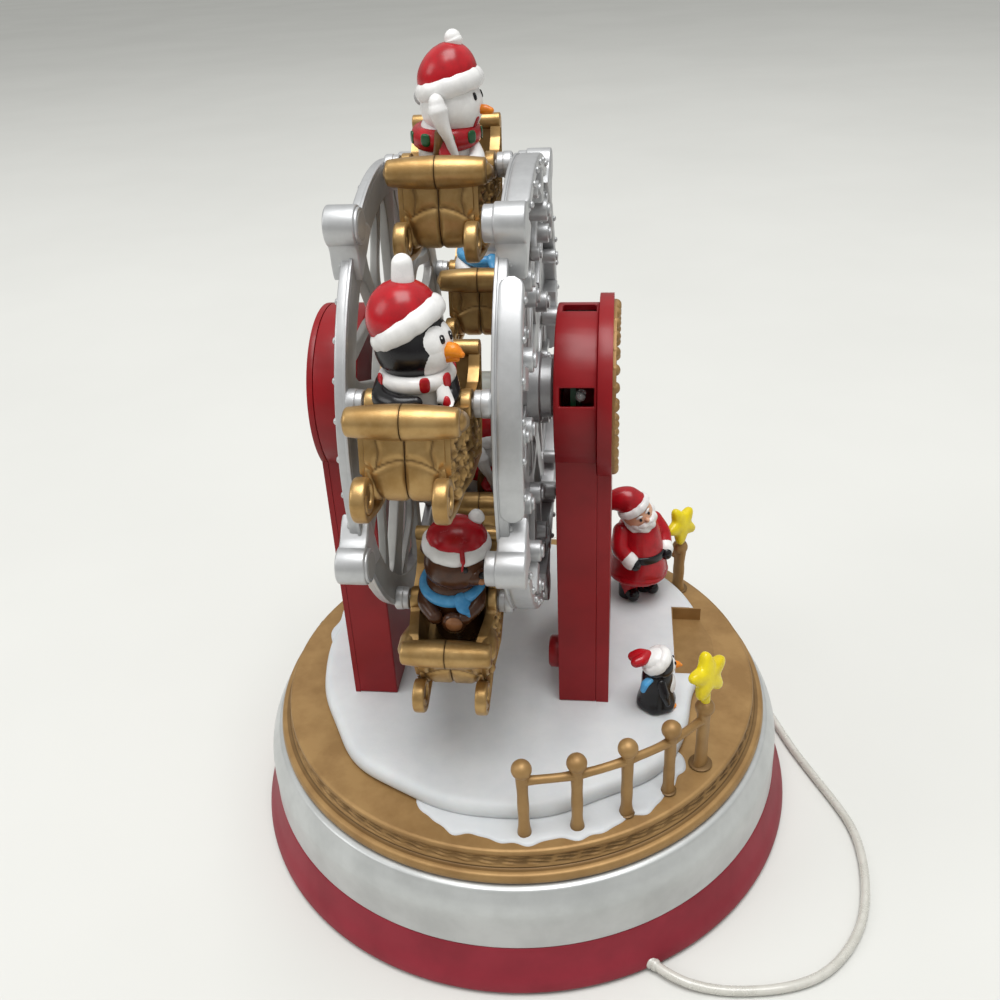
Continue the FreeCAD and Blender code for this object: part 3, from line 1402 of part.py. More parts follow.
def make_fence_stars():
    """One star on the last front post and one on the first back post, each seated on its ball."""
    front_angle, front_ball = fence_posts()[-1]
    back_angle, back_ball = back_posts()[0]
    ball_radius = float(S.ball_radius)
    seat = ball_radius * 0.75
    solids = []
    for angle, ball_z, facing_angle, tilt in (
        (front_angle, front_ball, -62, 12), (back_angle, back_ball, -58, 8),
    ):
        x, y, z = [float(v) for v in polar(FENCE_CIRCLE, angle, ball_z)]
        middle = Vector(x, y, z + seat + float(S.star_waist + S.star_lift))
        star = star_solid(middle, facing_angle, tilt)
        peg_foot = Vector(x, y, z + ball_radius)
        peg = Part.makeCylinder(float(S.star_peg_radius), seat + float(S.star_waist), peg_foot)
        post_ball = Part.makeSphere(ball_radius, Vector(x, y, z))
        solids.append(star.fuse(peg).cut(post_ball).removeSplitter())
    return feature("stars", Part.makeCompound(solids))


def make_santa():
    """Standing figure in coat, belt, boots and hat; its face is left to the finish."""
    tall = float(S.santa_height)
    unit = tall / 54
    boots = [rod((0, side * 4.2, 0), (0, side * 4.2, 10), 4.2, 3.8) for side in (-1, 1)]
    toes = [ball(2.2, side * 4.2, 2.6, 2.6) for side in (-1, 1)]
    coat = rod((0, 0, 8), (0, 0, 30), 12.2, 8.6)
    hem = Part.makeTorus(10.6, 2.0, Vector(0, 0, 9.6), Vector(0, 0, 1))
    belt = Part.makeCylinder(11.0, 3.4, Vector(0, 0, 18.2))
    chest = ball(0, 0, 29, 8.9)
    head = ball(1.2, 0, 38.5, 6.6)
    beard = ball(5.0, 0, 34.0, 5.2)
    cap = rod((0.6, 0, 41), (-2.5, 0.5, 51.5), 6.8, 2.2)
    brim = Part.makeTorus(5.8, 1.7, Vector(0.9, 0, 41.8), Vector(0, 0, 1))
    bobble = ball(-2.6, 0.6, 51.4, 2.6)
    arms = [rod((0, side * 8.0, 30), (6.5, side * 9.4, 20.5), 3.6, 3.2) for side in (-1, 1)]
    hands = [ball(7.4, side * 9.2, 19.2, 3.0) for side in (-1, 1)]
    trunk = [coat, hem, belt, chest, head, beard, cap, brim, bobble]
    whole = joined(boots + toes + trunk + arms + hands)
    whole.scale(unit)
    foot = Vector(*[float(v) for v in SANTA_SPOT])
    return feature("santa", whole, Placement(foot, about_z(-35)))


def make_little_penguin():
    unit = float(S.little_height) / 30
    feet = [rod((0, side * 2.6, 0), (0, side * 2.6, 2.2), 2.8, 2.4) for side in (-1, 1)]
    belly = ball(0, 0, 7.4, 6.6).common(Part.makeBox(20, 20, 20, Vector(-10, -10, 1.2)))
    chest = rod((0, 0, 8), (0, 0, 15), 6.3, 5.2)
    head = ball(0.3, 0, 18.2, 5.8)
    beak = rod((5.0, 0, 17.6), (8.4, 0, 17.2), 1.7, 0.5)
    brim = Part.makeTorus(4.4, 1.5, Vector(0.1, 0, 21.6), Vector(0.18, 0, 1))
    cap = rod((0, 0, 21), (-2.2, 0, 27), 5.0, 1.8)
    bobble = ball(-2.6, 0, 27.8, 2.2)
    wings = [rod((0, side * 5.2, 13), (1.5, side * 7.4, 5.5), 1.9, 1.2) for side in (-1, 1)]
    whole = joined(feet + [belly, chest, head, beak, brim, cap, bobble] + wings)
    whole.scale(unit)
    foot = Vector(*[float(v) for v in LITTLE_SPOT])
    return feature("little_penguin", whole, Placement(foot, about_z(-40)))


# Cord, coil and plug

# Control points of the free run, laid round a base of this radius
ROUTE_BASE = 100
ROUTE = (
    (68.0, -93.6, 1.6), (80.0, -92.9, 1.6), (92.0, -90.4, 1.6), (102.0, -85.8, 1.6), (110.6, -77.4, 1.6),
    (117.4, -66.6, 1.6), (121.2, -54.0, 1.6), (122.8, -40.0, 1.6), (121.9, -27.5, 1.6), (117.4, -15.6, 1.6),
    (111.6, -3.0, 1.6), (105.6, 11.0, 1.6), (100.8, 25.6, 1.6), (95.6, 40.6, 1.6), (87.6, 56.4, 1.6),
    (77.4, 71.4, 1.6), (67.4, 86.0, 1.6), (57.6, 101.0, 1.6), (47.6, 118.6, 1.6),
)


def laid(point):
    """A point of the route, moved outwards as far as the base has grown."""
    x, y, z = point
    reach = math.hypot(x, y)
    share = 1 + (float(S.base_radius) - ROUTE_BASE) / reach
    return (x * share, y * share, z)


def coil_point(turns):
    """Point of the coil's centreline after so many turns: inwards on the floor, then outwards on top."""
    total = float(S.coil_turns)
    pitch = float(S.coil_pitch)
    half = total / 2
    climb = max(0.0, min(1.0, (turns - (half - 0.25)) / 0.5))
    rise = climb * climb * (3 - 2 * climb)
    inward = half - abs(turns - half)
    radius = float(S.coil_inner_radius) + pitch * (half - inward)
    angle = math.radians(COIL_START) + 2 * math.pi * turns
    return Vector(
        float(S.coil_x) + radius * math.cos(angle),
        float(S.base_radius + S.coil_out) + radius * math.sin(angle),
        float(S.cord_height) + pitch * rise,
    )


COIL_START = 40


def coil_heading(turns):
    step = 1e-4
    way = coil_point(turns + step) - coil_point(turns - step)
    return way.normalize()


def arc_from(start, heading, end):
    """The arc that leaves start along heading and passes through end."""
    chord = end - start
    side = chord - heading * chord.dot(heading)
    if side.Length < 1e-6:
        return Part.LineSegment(start, end)
    side.normalize()
    radius = chord.dot(chord) / (2 * chord.dot(side))
    centre = start + side * radius
    mid = centre + (start + chord * 0.5 - centre).normalize() * radius
    return Part.Arc(start, mid, end)


def biarc(start, start_heading, end, end_heading):
    """Two arcs that join two points and share their headings there."""
    span = end - start
    both = start_heading + end_heading
    lead = 2 * start_heading.dot(end_heading) - 2
    cross = span.dot(both)
    if abs(lead) < 1e-9:
        reach = span.dot(span) / (2 * cross)
    else:
        reach = (cross - math.sqrt(cross * cross - lead * span.dot(span))) / lead
        if reach < 0:
            reach = (cross + math.sqrt(cross * cross - lead * span.dot(span))) / lead
    middle = (start + start_heading * reach + end - end_heading * reach) * 0.5
    second = arc_from(end, end_heading * -1, middle)
    if isinstance(second, Part.Arc):
        second = Part.Arc(middle, second.value((second.FirstParameter + second.LastParameter) / 2), end)
    else:
        second = Part.LineSegment(middle, end)
    return [arc_from(start, start_heading, middle), second]


def rounded_path(points):
    """Straight runs joined by tangent arcs as large as the two runs at each point allow."""
    spots = [Vector(*point) for point in points]
    edges = []
    radii = []
    last = spots[0]
    for before, corner, after in zip(spots, spots[1:], spots[2:]):
        inward = (corner - before).normalize()
        outward = (after - corner).normalize()
        turn = inward.getAngle(outward)
        setback = 0.45 * min((corner - before).Length, (after - corner).Length)
        radius = setback / math.tan(turn / 2)
        radii.append(radius)
        start = corner - inward * setback
        end = corner + outward * setback
        bisector = (outward - inward).normalize()
        centre = corner + bisector * (radius / math.cos(turn / 2))
        middle = centre - bisector * radius
        edges.append(Part.LineSegment(last, start).toShape())
        edges.append(Part.Arc(start, middle, end).toShape())
        last = end
    edges.append(Part.LineSegment(last, spots[-1]).toShape())
    return Part.Wire(edges), radii


def tube(wire, radius):
    start = wire.Edges[0].valueAt(wire.Edges[0].FirstParameter)
    heading = wire.Edges[0].tangentAt(wire.Edges[0].FirstParameter)
    circle = Part.Wire([Part.makeCircle(radius, start, heading)])
    solid = wire.makePipeShell([circle], True, False)
    return Part.Solid(solid) if solid.ShapeType != "Solid" else solid


def make_cord():
    """The free stretch from the strain relief round the base to the coil behind it."""
    coil_in = coil_point(0)
    heading = coil_heading(0)
    lead = 3 * float(S.cord_radius) * 2
    approach = coil_in - heading * lead
    start = tuple(float(v) for v in along_exit(0))
    straight = tuple(float(v) for v in along_exit(S.exit_run))
    points = [start, straight] + [laid(point) for point in ROUTE] + [tuple(approach), tuple(coil_in)]
    wire, radii = rounded_path(points)
    solid = tube(wire, float(S.cord_radius))
    section = math.pi * float(S.cord_radius) ** 2
    print(f"cord: {wire.Length:.1f} mm, volume ratio {solid.Volume / (section * wire.Length):.5f}")
    print("cord radii:", " ".join(f"{radius:.0f}" for radius in radii))
    return feature("cord_tube", solid)


def make_cord_coil():
    """Two layers of turns, inwards on the floor and outwards on top, on arcs of a quarter turn."""
    steps = round(float(S.coil_turns) * 4)
    lead = float(S.plug_lead)
    edges = []
    for step in range(steps):
        a, b = step / 4, (step + 1) / 4
        pair = biarc(coil_point(a), coil_heading(a), coil_point(b), coil_heading(b))
        edges += [curve.toShape() for curve in pair]
    last = coil_point(steps / 4)
    out = coil_heading(steps / 4)
    edges.append(Part.LineSegment(last, last + out * lead).toShape())
    wire = Part.Wire(edges)
    solid = tube(wire, float(S.cord_radius))
    section = math.pi * float(S.cord_radius) ** 2
    print(f"coil: {wire.Length:.1f} mm, volume ratio {solid.Volume / (section * wire.Length):.5f}")
    print(f"coil least gap to itself: {coil_gap():.2f} mm")
    return feature("coil_tube", solid)


def coil_gap():
    """Least distance between turns, measured on points of the centreline, less the cord's diameter."""
    total = float(S.coil_turns)
    count = 720
    spots = [coil_point(total * step / count) for step in range(count + 1)]
    least = 1e9
    for i in range(0, count, 2):
        for j in range(i + round(0.6 * count / total), count + 1):
            least = min(least, (spots[i] - spots[j]).Length)
    return least - 2 * float(S.cord_radius)


def make_cord_plug():
    """Moulded grip with a flat metal plug shell, lying on the floor at the coil's outer end."""
    turns = float(S.coil_turns)
    lead = float(S.plug_lead)
    start = coil_point(turns) + coil_heading(turns) * lead
    heading = coil_heading(turns)
    width, thick, length = float(S.plug_width), float(S.plug_thick), float(S.plug_length)
    grip = Part.makeBox(length, width, thick, Vector(0, -width / 2, -thick / 2))
    grip = grip.makeFillet(1.6, [e for e in grip.Edges if abs(e.tangentAt(0).x) > 0.9])
    shell_width, shell_thick = float(S.plug_shell_width), float(S.plug_shell_thick)
    shell_length = float(S.plug_shell_length)
    shell_corner = Vector(length, -shell_width / 2, -shell_thick / 2)
    shell = Part.makeBox(shell_length, shell_width, shell_thick, shell_corner)
    mouth_corner = Vector(length + 2, -shell_width / 2 + 0.5, 0.2)
    mouth = Part.makeBox(shell_length - 2, shell_width - 1, 1.6, mouth_corner)
    whole = grip.fuse(shell).cut(mouth).removeSplitter()
    turn = about_z(math.degrees(math.atan2(heading.y, heading.x)))
    return feature("plug", whole, Placement(start, turn))


def build():
    makers = {
        "lower_shell": make_lower_shell,
        "silver_band": make_silver_band,
        "stage_ring": make_stage_ring,
        "snow_stage": make_snow_stage,
        "bottom_plate": make_bottom_plate,
        "rubber_feet": make_rubber_feet,
        "bottom_screws": make_bottom_screws,
        "circuit_board": make_circuit_board,
        "board_parts": make_board_parts,
        "speaker_frame": make_speaker_frame,
        "speaker_cone": make_speaker_cone,
        "switch_case": make_switch_case,
        "switch_slider": make_switch_slider,
        "volume_case": make_volume_case,
        "volume_knob": make_volume_knob,
        "front_tower": make_front_tower,
        "front_plate": make_front_plate,
        "bead_ring": make_bead_ring,
        "led_board": make_led_board,
        "front_leds": make_front_leds,
        "boss_cap": make_boss_cap,
        "rear_tower": make_rear_tower,
        "rear_cover": make_rear_cover,
        "drive_motor": make_drive_motor,
        "motor_screws": make_motor_screws,
        "tower_screws": make_tower_screws,
        "front_bush": lambda: bush(
            "front_bush", FRONT_BUSH_FACE, S.front_tower_start, FRONT_BUSH_LENGTH,
        ),
        "rear_bush": lambda: bush("rear_bush", REAR_INNER, MOTOR_FACE, S.tower_wall),
        "front_wheel": make_front_wheel,
        "rear_wheel": make_rear_wheel,
        "wheel_axle": make_axle,
        "axle_clip": make_axle_clip,
        "hub_spacer": make_hub_spacer,
        "drive_sleeve": make_drive_sleeve,
        "front_fence": lambda: fence("front_fence", fence_posts()),
        "back_fence": lambda: fence("back_fence", back_posts()),
        "fence_stars": make_fence_stars,
        "santa_figure": make_santa,
        "little_penguin": make_little_penguin,
        "cord_gland": make_cord_gland,
        "power_cord": make_cord,
        "cord_coil": make_cord_coil,
        "cord_plug": make_cord_plug,
    }
    for name, make in makers.items():
        finished(name, make())
    for number in range(5):
        for side, word in ((1, "front"), (-1, "rear")):
            finished(f"sleigh_{number + 1}_{word}", make_sleigh_half(number, side))
        finished(f"rider_{number + 1}", make_rider(number))


def export():
    DOC.recompute()
    for obj in DOC.Objects:
        if "Invalid" in obj.State or "Error" in obj.State:
            raise RuntimeError(f"{obj.Name} ({obj.Label}) failed: {obj.State}")
    faulty = []
    for name, obj in PIECES.items():
        shape = obj.Shape
        if shape.isNull() or not shape.isValid() or not shape.Solids:
            faulty.append(name)
    if faulty:
        raise RuntimeError("no valid solid: " + ", ".join(faulty))
    os.makedirs("parts", exist_ok=True)
    for name, obj in PIECES.items():
        obj.Shape.exportStep(f"parts/{name}.step")
    print(len(PIECES), "pieces written")


build()
export()
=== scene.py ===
"""Looks of a musical Christmas ferris wheel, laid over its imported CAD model.

The frame is the CAD's: X runs along the axle towards the front plate, Z is up, and the origin is on
the floor below the middle of the round base. Shapes are worked out in millimetres and written in metres.
Angles round the wheel are counted from -Y upwards, angles round the base from +X towards +Y.
A gondola's own frame has its origin on the pivots, X across the sleigh and its nose towards -Y.
"""
import math

import bpy
import numpy as np
from mathutils import Matrix, Vector


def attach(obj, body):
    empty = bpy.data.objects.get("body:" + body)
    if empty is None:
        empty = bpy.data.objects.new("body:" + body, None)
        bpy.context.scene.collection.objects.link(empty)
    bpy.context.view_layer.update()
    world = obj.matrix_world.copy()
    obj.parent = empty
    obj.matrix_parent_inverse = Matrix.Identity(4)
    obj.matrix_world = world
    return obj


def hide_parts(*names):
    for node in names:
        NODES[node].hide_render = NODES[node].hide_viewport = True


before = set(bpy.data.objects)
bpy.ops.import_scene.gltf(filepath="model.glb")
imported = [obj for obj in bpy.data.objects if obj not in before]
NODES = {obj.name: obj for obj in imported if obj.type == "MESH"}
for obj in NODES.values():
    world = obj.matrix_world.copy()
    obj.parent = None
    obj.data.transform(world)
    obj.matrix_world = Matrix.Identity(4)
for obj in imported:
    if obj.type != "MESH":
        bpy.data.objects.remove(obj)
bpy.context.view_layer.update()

MM = 0.001
TAU = 2 * math.pi


# Camera, at the photograph's place

CAMERA_AT = np.array((35.433, -270.969, 286.012))
CAMERA_TURN, CAMERA_DIP, CAMERA_ROLL = -0.144, 0.543, -0.057
FOCAL_SHARE = 0.948381
SENSOR_WIDTH = 36


def linked(name, data):
    """A new object of that data in the scene, at the origin."""
    piece = bpy.data.objects.new(name, data)
    bpy.context.scene.collection.objects.link(piece)
    return piece


def make_camera():
    """Looks along (sin turn cos dip, cos turn cos dip, -sin dip), rolled about that line."""
    turn, dip, roll = CAMERA_TURN, CAMERA_DIP, CAMERA_ROLL
    ahead = np.array((math.sin(turn) * math.cos(dip), math.cos(turn) * math.cos(dip), -math.sin(dip)))
    level = np.array((math.cos(turn), -math.sin(turn), 0))
    upright = np.cross(level, ahead)
    right = math.cos(roll) * level + math.sin(roll) * upright
    top = -math.sin(roll) * level + math.cos(roll) * upright
    data = bpy.data.cameras.new("photo_camera")
    data.sensor_width = SENSOR_WIDTH
    data.lens = SENSOR_WIDTH * FOCAL_SHARE
    data.clip_start, data.clip_end = 0.01, 50
    camera = linked("photo_camera", data)
    columns = np.column_stack([right, top, -ahead, CAMERA_AT * MM])
    camera.matrix_world = Matrix([*columns.tolist(), [0, 0, 0, 1]])
    bpy.context.scene.camera = camera


make_camera()


# Surfaces on grids

def unit(vectors):
    return vectors / np.linalg.norm(vectors, axis=-1, keepdims=True)


def spun(axis, degrees):
    """Matrix that turns rows of points about X, Y or Z: cosines on the diagonal, sine and minus sine beside it."""
    turn = math.radians(degrees)
    first, second = {"X": (1, 2), "Y": (2, 0), "Z": (0, 1)}[axis]
    matrix = np.eye(3)
    matrix[first, first] = matrix[second, second] = math.cos(turn)
    matrix[first, second], matrix[second, first] = math.sin(turn), -math.sin(turn)
    return matrix


def through(points, count):
    """A smooth line through points: each stretch is the cubic whose slopes are half the neighbours' distance."""
    spots = np.asarray(points, float)
    padded = np.vstack([2 * spots[0] - spots[1], spots, 2 * spots[-1] - spots[-2]])
    place = np.linspace(0, len(spots) - 1, count)
    first = np.minimum(place.astype(int), len(spots) - 2)
    share = (place - first)[:, None]
    a, b, c, d = padded[first], padded[first + 1], padded[first + 2], padded[first + 3]
    return 0.5 * (2 * b + (c - a) * share + (2 * a - 5 * b + 4 * c - d) * share**2
                  + (3 * b - a - 3 * c + d) * share**3)


def ball(middle, radii, rows=20, cols=28, square=2.0):
    """Ellipsoid: middle + radii * (cos east sin down, sin east sin down, cos down), squarer above a power of 2."""
    down = np.linspace(math.radians(3), math.pi - math.radians(3), rows)[:, None]
    east = np.linspace(0, TAU, cols, endpoint=False)[None, :]
    way = np.stack([np.cos(east) * np.sin(down), np.sin(east) * np.sin(down), np.cos(down) + 0 * east], -1)
    length = (np.abs(way) ** square).sum(-1, keepdims=True) ** (1 / square)
    return np.asarray(middle, float) + np.broadcast_to(radii, (3,)) * way / length


def carried(path, wide, high, up=(1, 0, 0), cols=20, square=2.0):
    """An oval section carried along a path: half width across up and the path, half height towards up."""
    path = np.asarray(path, float)
    way = unit(np.gradient(path, axis=0))
    side = unit(np.cross(way, np.asarray(up, float)))
    top = np.cross(side, way)
    turn = np.linspace(0, TAU, cols, endpoint=False) + math.pi / cols
    across, along = np.cos(turn), np.sin(turn)
    across = np.sign(across) * np.abs(across) ** (2 / square)
    along = np.sign(along) * np.abs(along) ** (2 / square)
    wide = np.broadcast_to(wide, (len(path),))[:, None] * across
    high = np.broadcast_to(high, (len(path),))[:, None] * along
    return path[:, None] + side[:, None] * wide[..., None] + top[:, None] * high[..., None]


CAP = np.radians([84, 64, 45, 27, 12])
QUARTER = np.radians([0, 22, 45, 68, 90])
FACE_STEP = 0.3


def limb(points, radii, count=24, cols=20, up=(1, 0, 0), flat=1.0):
    """A round limb along a smooth line: radius between the given ones, and a half ball at each end."""
    path = through(points, count)
    radius = np.interp(np.linspace(0, len(points) - 1, count), np.arange(len(points)), radii)
    back, onward = unit(path[0] - path[1]), unit(path[-1] - path[-2])
    start = path[0] + back * radius[0] * np.sin(CAP)[:, None]
    end = path[-1] + onward * radius[-1] * np.sin(CAP[::-1])[:, None]
    path = np.vstack([start, path, end])
    radius = np.concatenate([radius[0] * np.cos(CAP), radius, radius[-1] * np.cos(CAP[::-1])])
    return carried(path, radius, radius * flat, up, cols)


def turned(profile, at=(0, 0, 0), axis=(1, 0, 0), cols=48):
    """A profile of (distance along the axis, radius) turned round it."""
    profile = np.asarray(profile, float)
    axis = unit(np.asarray(axis, float))
    aside = unit(np.cross(axis, (0.0, 0.0, 1.0) if abs(axis[2]) < 0.9 else (0.0, 1.0, 0.0)))
    other = np.cross(axis, aside)
    turn = np.linspace(0, TAU, cols, endpoint=False)
    spin = np.cos(turn)[:, None] * aside + np.sin(turn)[:, None] * other
    return np.asarray(at, float) + profile[:, :1, None] * axis + profile[:, 1:, None] * spin[None]


def drum(low, high, radius, edge=0.5, top_radius=None):
    """Profile of a round pin whose two rims are quarter circles of the edge radius."""
    last = radius if top_radius is None else top_radius
    first_rim = np.column_stack([low + edge - edge * np.cos(QUARTER), radius - edge + edge * np.sin(QUARTER)])
    last_rim = np.column_stack([high - edge + edge * np.sin(QUARTER), last - edge + edge * np.cos(QUARTER)])
    return np.vstack([[low, max(0.1, radius - 2 * edge)], first_rim, last_rim, [high, max(0.1, last - 2 * edge)]])


def plate(outline, low, high, edge=0.5, axis=0):
    """A flat outline with rounded rims: both faces are drawn in by edge * (1 - sin), mitred at the corners.

    A narrow step inside each rim keeps the face's own shading flat; a wider one would cross itself at sharp corners.
    """
    outline = np.asarray(outline, float)
    ahead = np.roll(outline, -1, 0) - outline
    area = np.sum(outline[:, 0] * np.roll(outline[:, 1], -1) - np.roll(outline[:, 0], -1) * outline[:, 1])
    normal = unit(np.column_stack([ahead[:, 1], -ahead[:, 0]])) * math.copysign(1, area)
    before = np.roll(normal, 1, 0)
    normal = (before + normal) / np.maximum(0.4, 1 + (before * normal).sum(1))[:, None]
    inset, level = edge * (1 - np.sin(QUARTER)), edge * (1 - np.cos(QUARTER))
    face = inset[0] + FACE_STEP * edge
    steps = [(face, low), *zip(inset, low + level), *zip(inset[::-1], high - level[::-1]), (face, high)]
    return np.array([np.insert(outline - normal * draw_in, axis, height, axis=1) for draw_in, height in steps])


class Skin:
    """Surfaces gathered into one mesh, each with the name of its finish and a wash value per point; place moves them.
    """

    def __init__(self, place=None):
        self.points, self.faces, self.finishes, self.washes_and_shades = [], [], [], []
        self.place = place
        self.count = 0

    def add(self, grid, finish, ends="fan", loop=False, wash=None, place=None):
        """Joins a grid whose columns close on themselves; its ends get a fan or a flat face, or meet as a loop."""
        rows, cols = grid.shape[:2]
        number = np.arange(rows * cols).reshape(rows, cols)
        right = np.roll(number, -1, 1)
        above, above_right = (np.roll(number, -1, 0), np.roll(right, -1, 0)) if loop else (number[1:], right[1:])
        last = rows if loop else rows - 1
        quads = np.stack([number[:last], right[:last], above_right[:last], above[:last]], -1).reshape(-1, 4)
        points = grid.reshape(-1, 3)
        wash = np.zeros(len(points)) if wash is None else np.broadcast_to(wash, (rows, cols)).reshape(-1)
        faces = quads.tolist()
        if not loop and ends == "fan":
            hubs = np.array([grid[0].mean(0), grid[-1].mean(0)])
            low, high = len(points), len(points) + 1
            faces += np.column_stack([right[0], number[0], np.full(cols, low)]).tolist()
            faces += np.column_stack([number[-1], right[-1], np.full(cols, high)]).tolist()
            points = np.vstack([points, hubs])
            wash = np.concatenate([wash, [wash[:cols].mean(), wash[-cols:].mean()]])
        elif not loop and ends == "flat":
            faces += [number[0][::-1].tolist(), number[-1].tolist()]
        place = place or self.place
        if place is not None:
            points = place(points)
        if outward(points, faces) < 0:
            faces = [face[::-1] for face in faces]
        self.points.append(points)
        self.faces += [[index + self.count for index in face] for face in faces]
        self.finishes += [finish] * len(faces)
        self.washes_and_shades.append(wash)
        self.count += len(points)
        return self


def outward(points, faces):
    """Six times the enclosed volume, each face split into triangles from its first corner."""
    total = 0.0
    middle = points.mean(0)
    for size in {len(face) for face in faces}:
        ring = points[np.array([face for face in faces if len(face) == size])] - middle
        for k in range(1, size - 1):
            total += np.einsum("ij,ij->", ring[:, 0], np.cross(ring[:, k], ring[:, k + 1]))
    return total


SHARP = math.radians(42)


def mould(name, skin, body, replaced=()):
    """Makes the gathered surfaces a piece that rides on a body and stands for CAD nodes."""
    mesh = bpy.data.meshes.new(name)
    mesh.from_pydata((np.vstack(skin.points) * MM).tolist(), [], skin.faces)
    names = list(dict.fromkeys(skin.finishes))
    for finish in names:
        mesh.materials.append(FINISHES[finish])
    mesh.polygons.foreach_set("material_index", np.array([names.index(n) for n in skin.finishes], np.int32))
    mesh.polygons.foreach_set("use_smooth", np.ones(len(mesh.polygons), bool))
    wash = mesh.attributes.new("wash", "FLOAT", "POINT")
    wash.data.foreach_set("value", np.concatenate(skin.washes_and_shades).astype(np.float32))
    mesh.set_sharp_from_angle(angle=SHARP)
    mesh.validate()
    piece = linked(name, mesh)
    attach(piece, body)
    if replaced:
        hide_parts(*replaced)
    return piece


# Materials

FINISHES = {}


def linear(text):
    """An sRGB hex colour as linear red, green, blue and full cover."""
    part = np.array([int(text[k:k + 2], 16) for k in (1, 3, 5)]) / 255
    part = np.where(part <= 0.04045, part / 12.92, ((part + 0.055) / 1.055) ** 2.4)
    return (*part.tolist(), 1.0)


def per(size):
    """A texture's scale for features of that many millimetres."""
    return 1 / (size * MM)


def add(tree, kind, values, links=None):
    """Adds a node: values by property or socket, links as socket: (node, output); stops fill a colour ramp."""
    node = tree.nodes.new(kind)
    for key, value in values.items():
        if key == "stops":
            ramp = node.color_ramp.elements
            while len(ramp) < len(value):
                ramp.new(0.5)
            for stop, (position, colour) in zip(ramp, value):
                stop.position, stop.color = position, linear(colour)
        elif isinstance(key, int) or key in node.inputs:
            node.inputs[key].default_value = value
        else:
            setattr(node, key, value)
    for key, (source, output) in (links or {}).items():
        tree.links.new(source.outputs[output], node.inputs[key])
    return node


def finish(name, colours, mottle, grain, depth, rough, shader=None, wash=None, wash_and_shade_share=0.9):
    """A surface with two close colours in patches of one size, a fine grain of another, and a darker colour mixed in
    by the wash value, which holds antiquing in some hollows and painted shade in others.

    colours are two hex values, mottle and grain sizes in mm, depth the grain's height in mm,
    rough the lowest and highest roughness, and shader the values set on the surface's own sockets.
    """
    material = bpy.data.materials.new(name)
    material.use_nodes = True
    tree = material.node_tree
    tree.nodes.clear()
    place = add(tree, "ShaderNodeTexCoord", {})
    patches = add(tree, "ShaderNodeTexNoise", {"Scale": per(mottle), "Detail": 4.0, "Roughness": 0.6},
                  {"Vector": (place, "Object")})
    colour = add(tree, "ShaderNodeValToRGB", {"stops": ((0.36, colours[0]), (0.64, colours[1]))},
                 {"Fac": (patches, "Fac")})
    output = (colour, "Color")
    if wash:
        hollow = add(tree, "ShaderNodeAttribute", {"attribute_name": "wash"})
        share = add(tree, "ShaderNodeMath", {"operation": "MULTIPLY", 1: wash_and_shade_share}, {0: (hollow, "Fac")})
        dark = add(tree, "ShaderNodeMix", {"data_type": "RGBA", 7: linear(wash)}, {0: (share, "Value"), 6: output})
        output = (dark, 2)
    fine = add(tree, "ShaderNodeTexNoise", {"Scale": per(grain), "Detail": 3.0}, {"Vector": (place, "Object")})
    gloss = add(tree, "ShaderNodeMapRange", {"To Min": rough[0], "To Max": rough[1]}, {"Value": (patches, "Fac")})
    relief = add(tree, "ShaderNodeBump", {"Distance": depth * MM}, {"Height": (fine, "Fac")})
    surface = add(tree, "ShaderNodeBsdfPrincipled", shader or {},
                  {"Base Color": output, "Roughness": (gloss, "Result"), "Normal": (relief, "Normal")})
    add(tree, "ShaderNodeOutputMaterial", {}, {"Surface": (surface, "BSDF")})
    FINISHES[name] = material
    return material


# Moulded ABS, self coloured: deep red with a soft sheen and a faint flow pattern.
finish("red_abs", ("#8c1118", "#7c0d13"), 26, 0.35, 0.006, (0.3, 0.4), {"Specular IOR Level": 0.3})
# The lower ring is the same plastic in a bluer, matter red, brushed by handling.
finish("raspberry_abs", ("#8a2130", "#7c1b29"), 22, 0.4, 0.01, (0.45, 0.58), {"Specular IOR Level": 0.3})
# Pearl silver lacquer on plastic: pale grey with a fine sparkle and a wide soft highlight.
finish("pearl_lacquer", ("#c2c4c3", "#b4b6b5"), 18, 0.22, 0.008, (0.32, 0.42),
       {"Metallic": 0.5, "Coat Weight": 0.15})
# Silver paint sprayed on the wheels: satin, pale grey with soft wide highlights and thin spots in the coat.
finish("silver_coat", ("#c0c1c2", "#b0b1b2"), 9, 0.3, 0.01, (0.36, 0.46), {"Metallic": 0.65}, "#3c3a38")
# The rear wheel's inner face and the lugs' inner discs: a darker copy of the same silver paint, painted shade for the
# dark surroundings these faces reflect.
finish("shaded_silver", ("#a3a29f", "#92918e"), 12, 0.4, 0.012, (0.4, 0.5), {"Metallic": 0.35}, "#2c2a28")
# Matt gold paint of the deck and fences: brownish and dull; its darker colour is painted shade in the hollows, at the
# post feet and in the niche.
finish("matt_gold", ("#a48252", "#8f6e42"), 14, 0.35, 0.012, (0.42, 0.55), {"Metallic": 0.45}, "#4a3418")
# Cast sleighs: brighter antique gold over fine sand-like casting; its brown darker colour is antiquing left in the
# carving, deepened as painted shade, and painted shade on the inner faces.
finish("antique_gold", ("#b69562", "#9e7c4a"), 7, 0.45, 0.02, (0.3, 0.42), {"Metallic": 0.75}, "#49321a")
# Snow: white styrene, slightly satin, with shallow pits so it isn't plain.
finish("snow_styrene", ("#cfd0d1", "#c5c7c9"), 20, 1.1, 0.03, (0.42, 0.6), {"Subsurface Weight": 0.05})
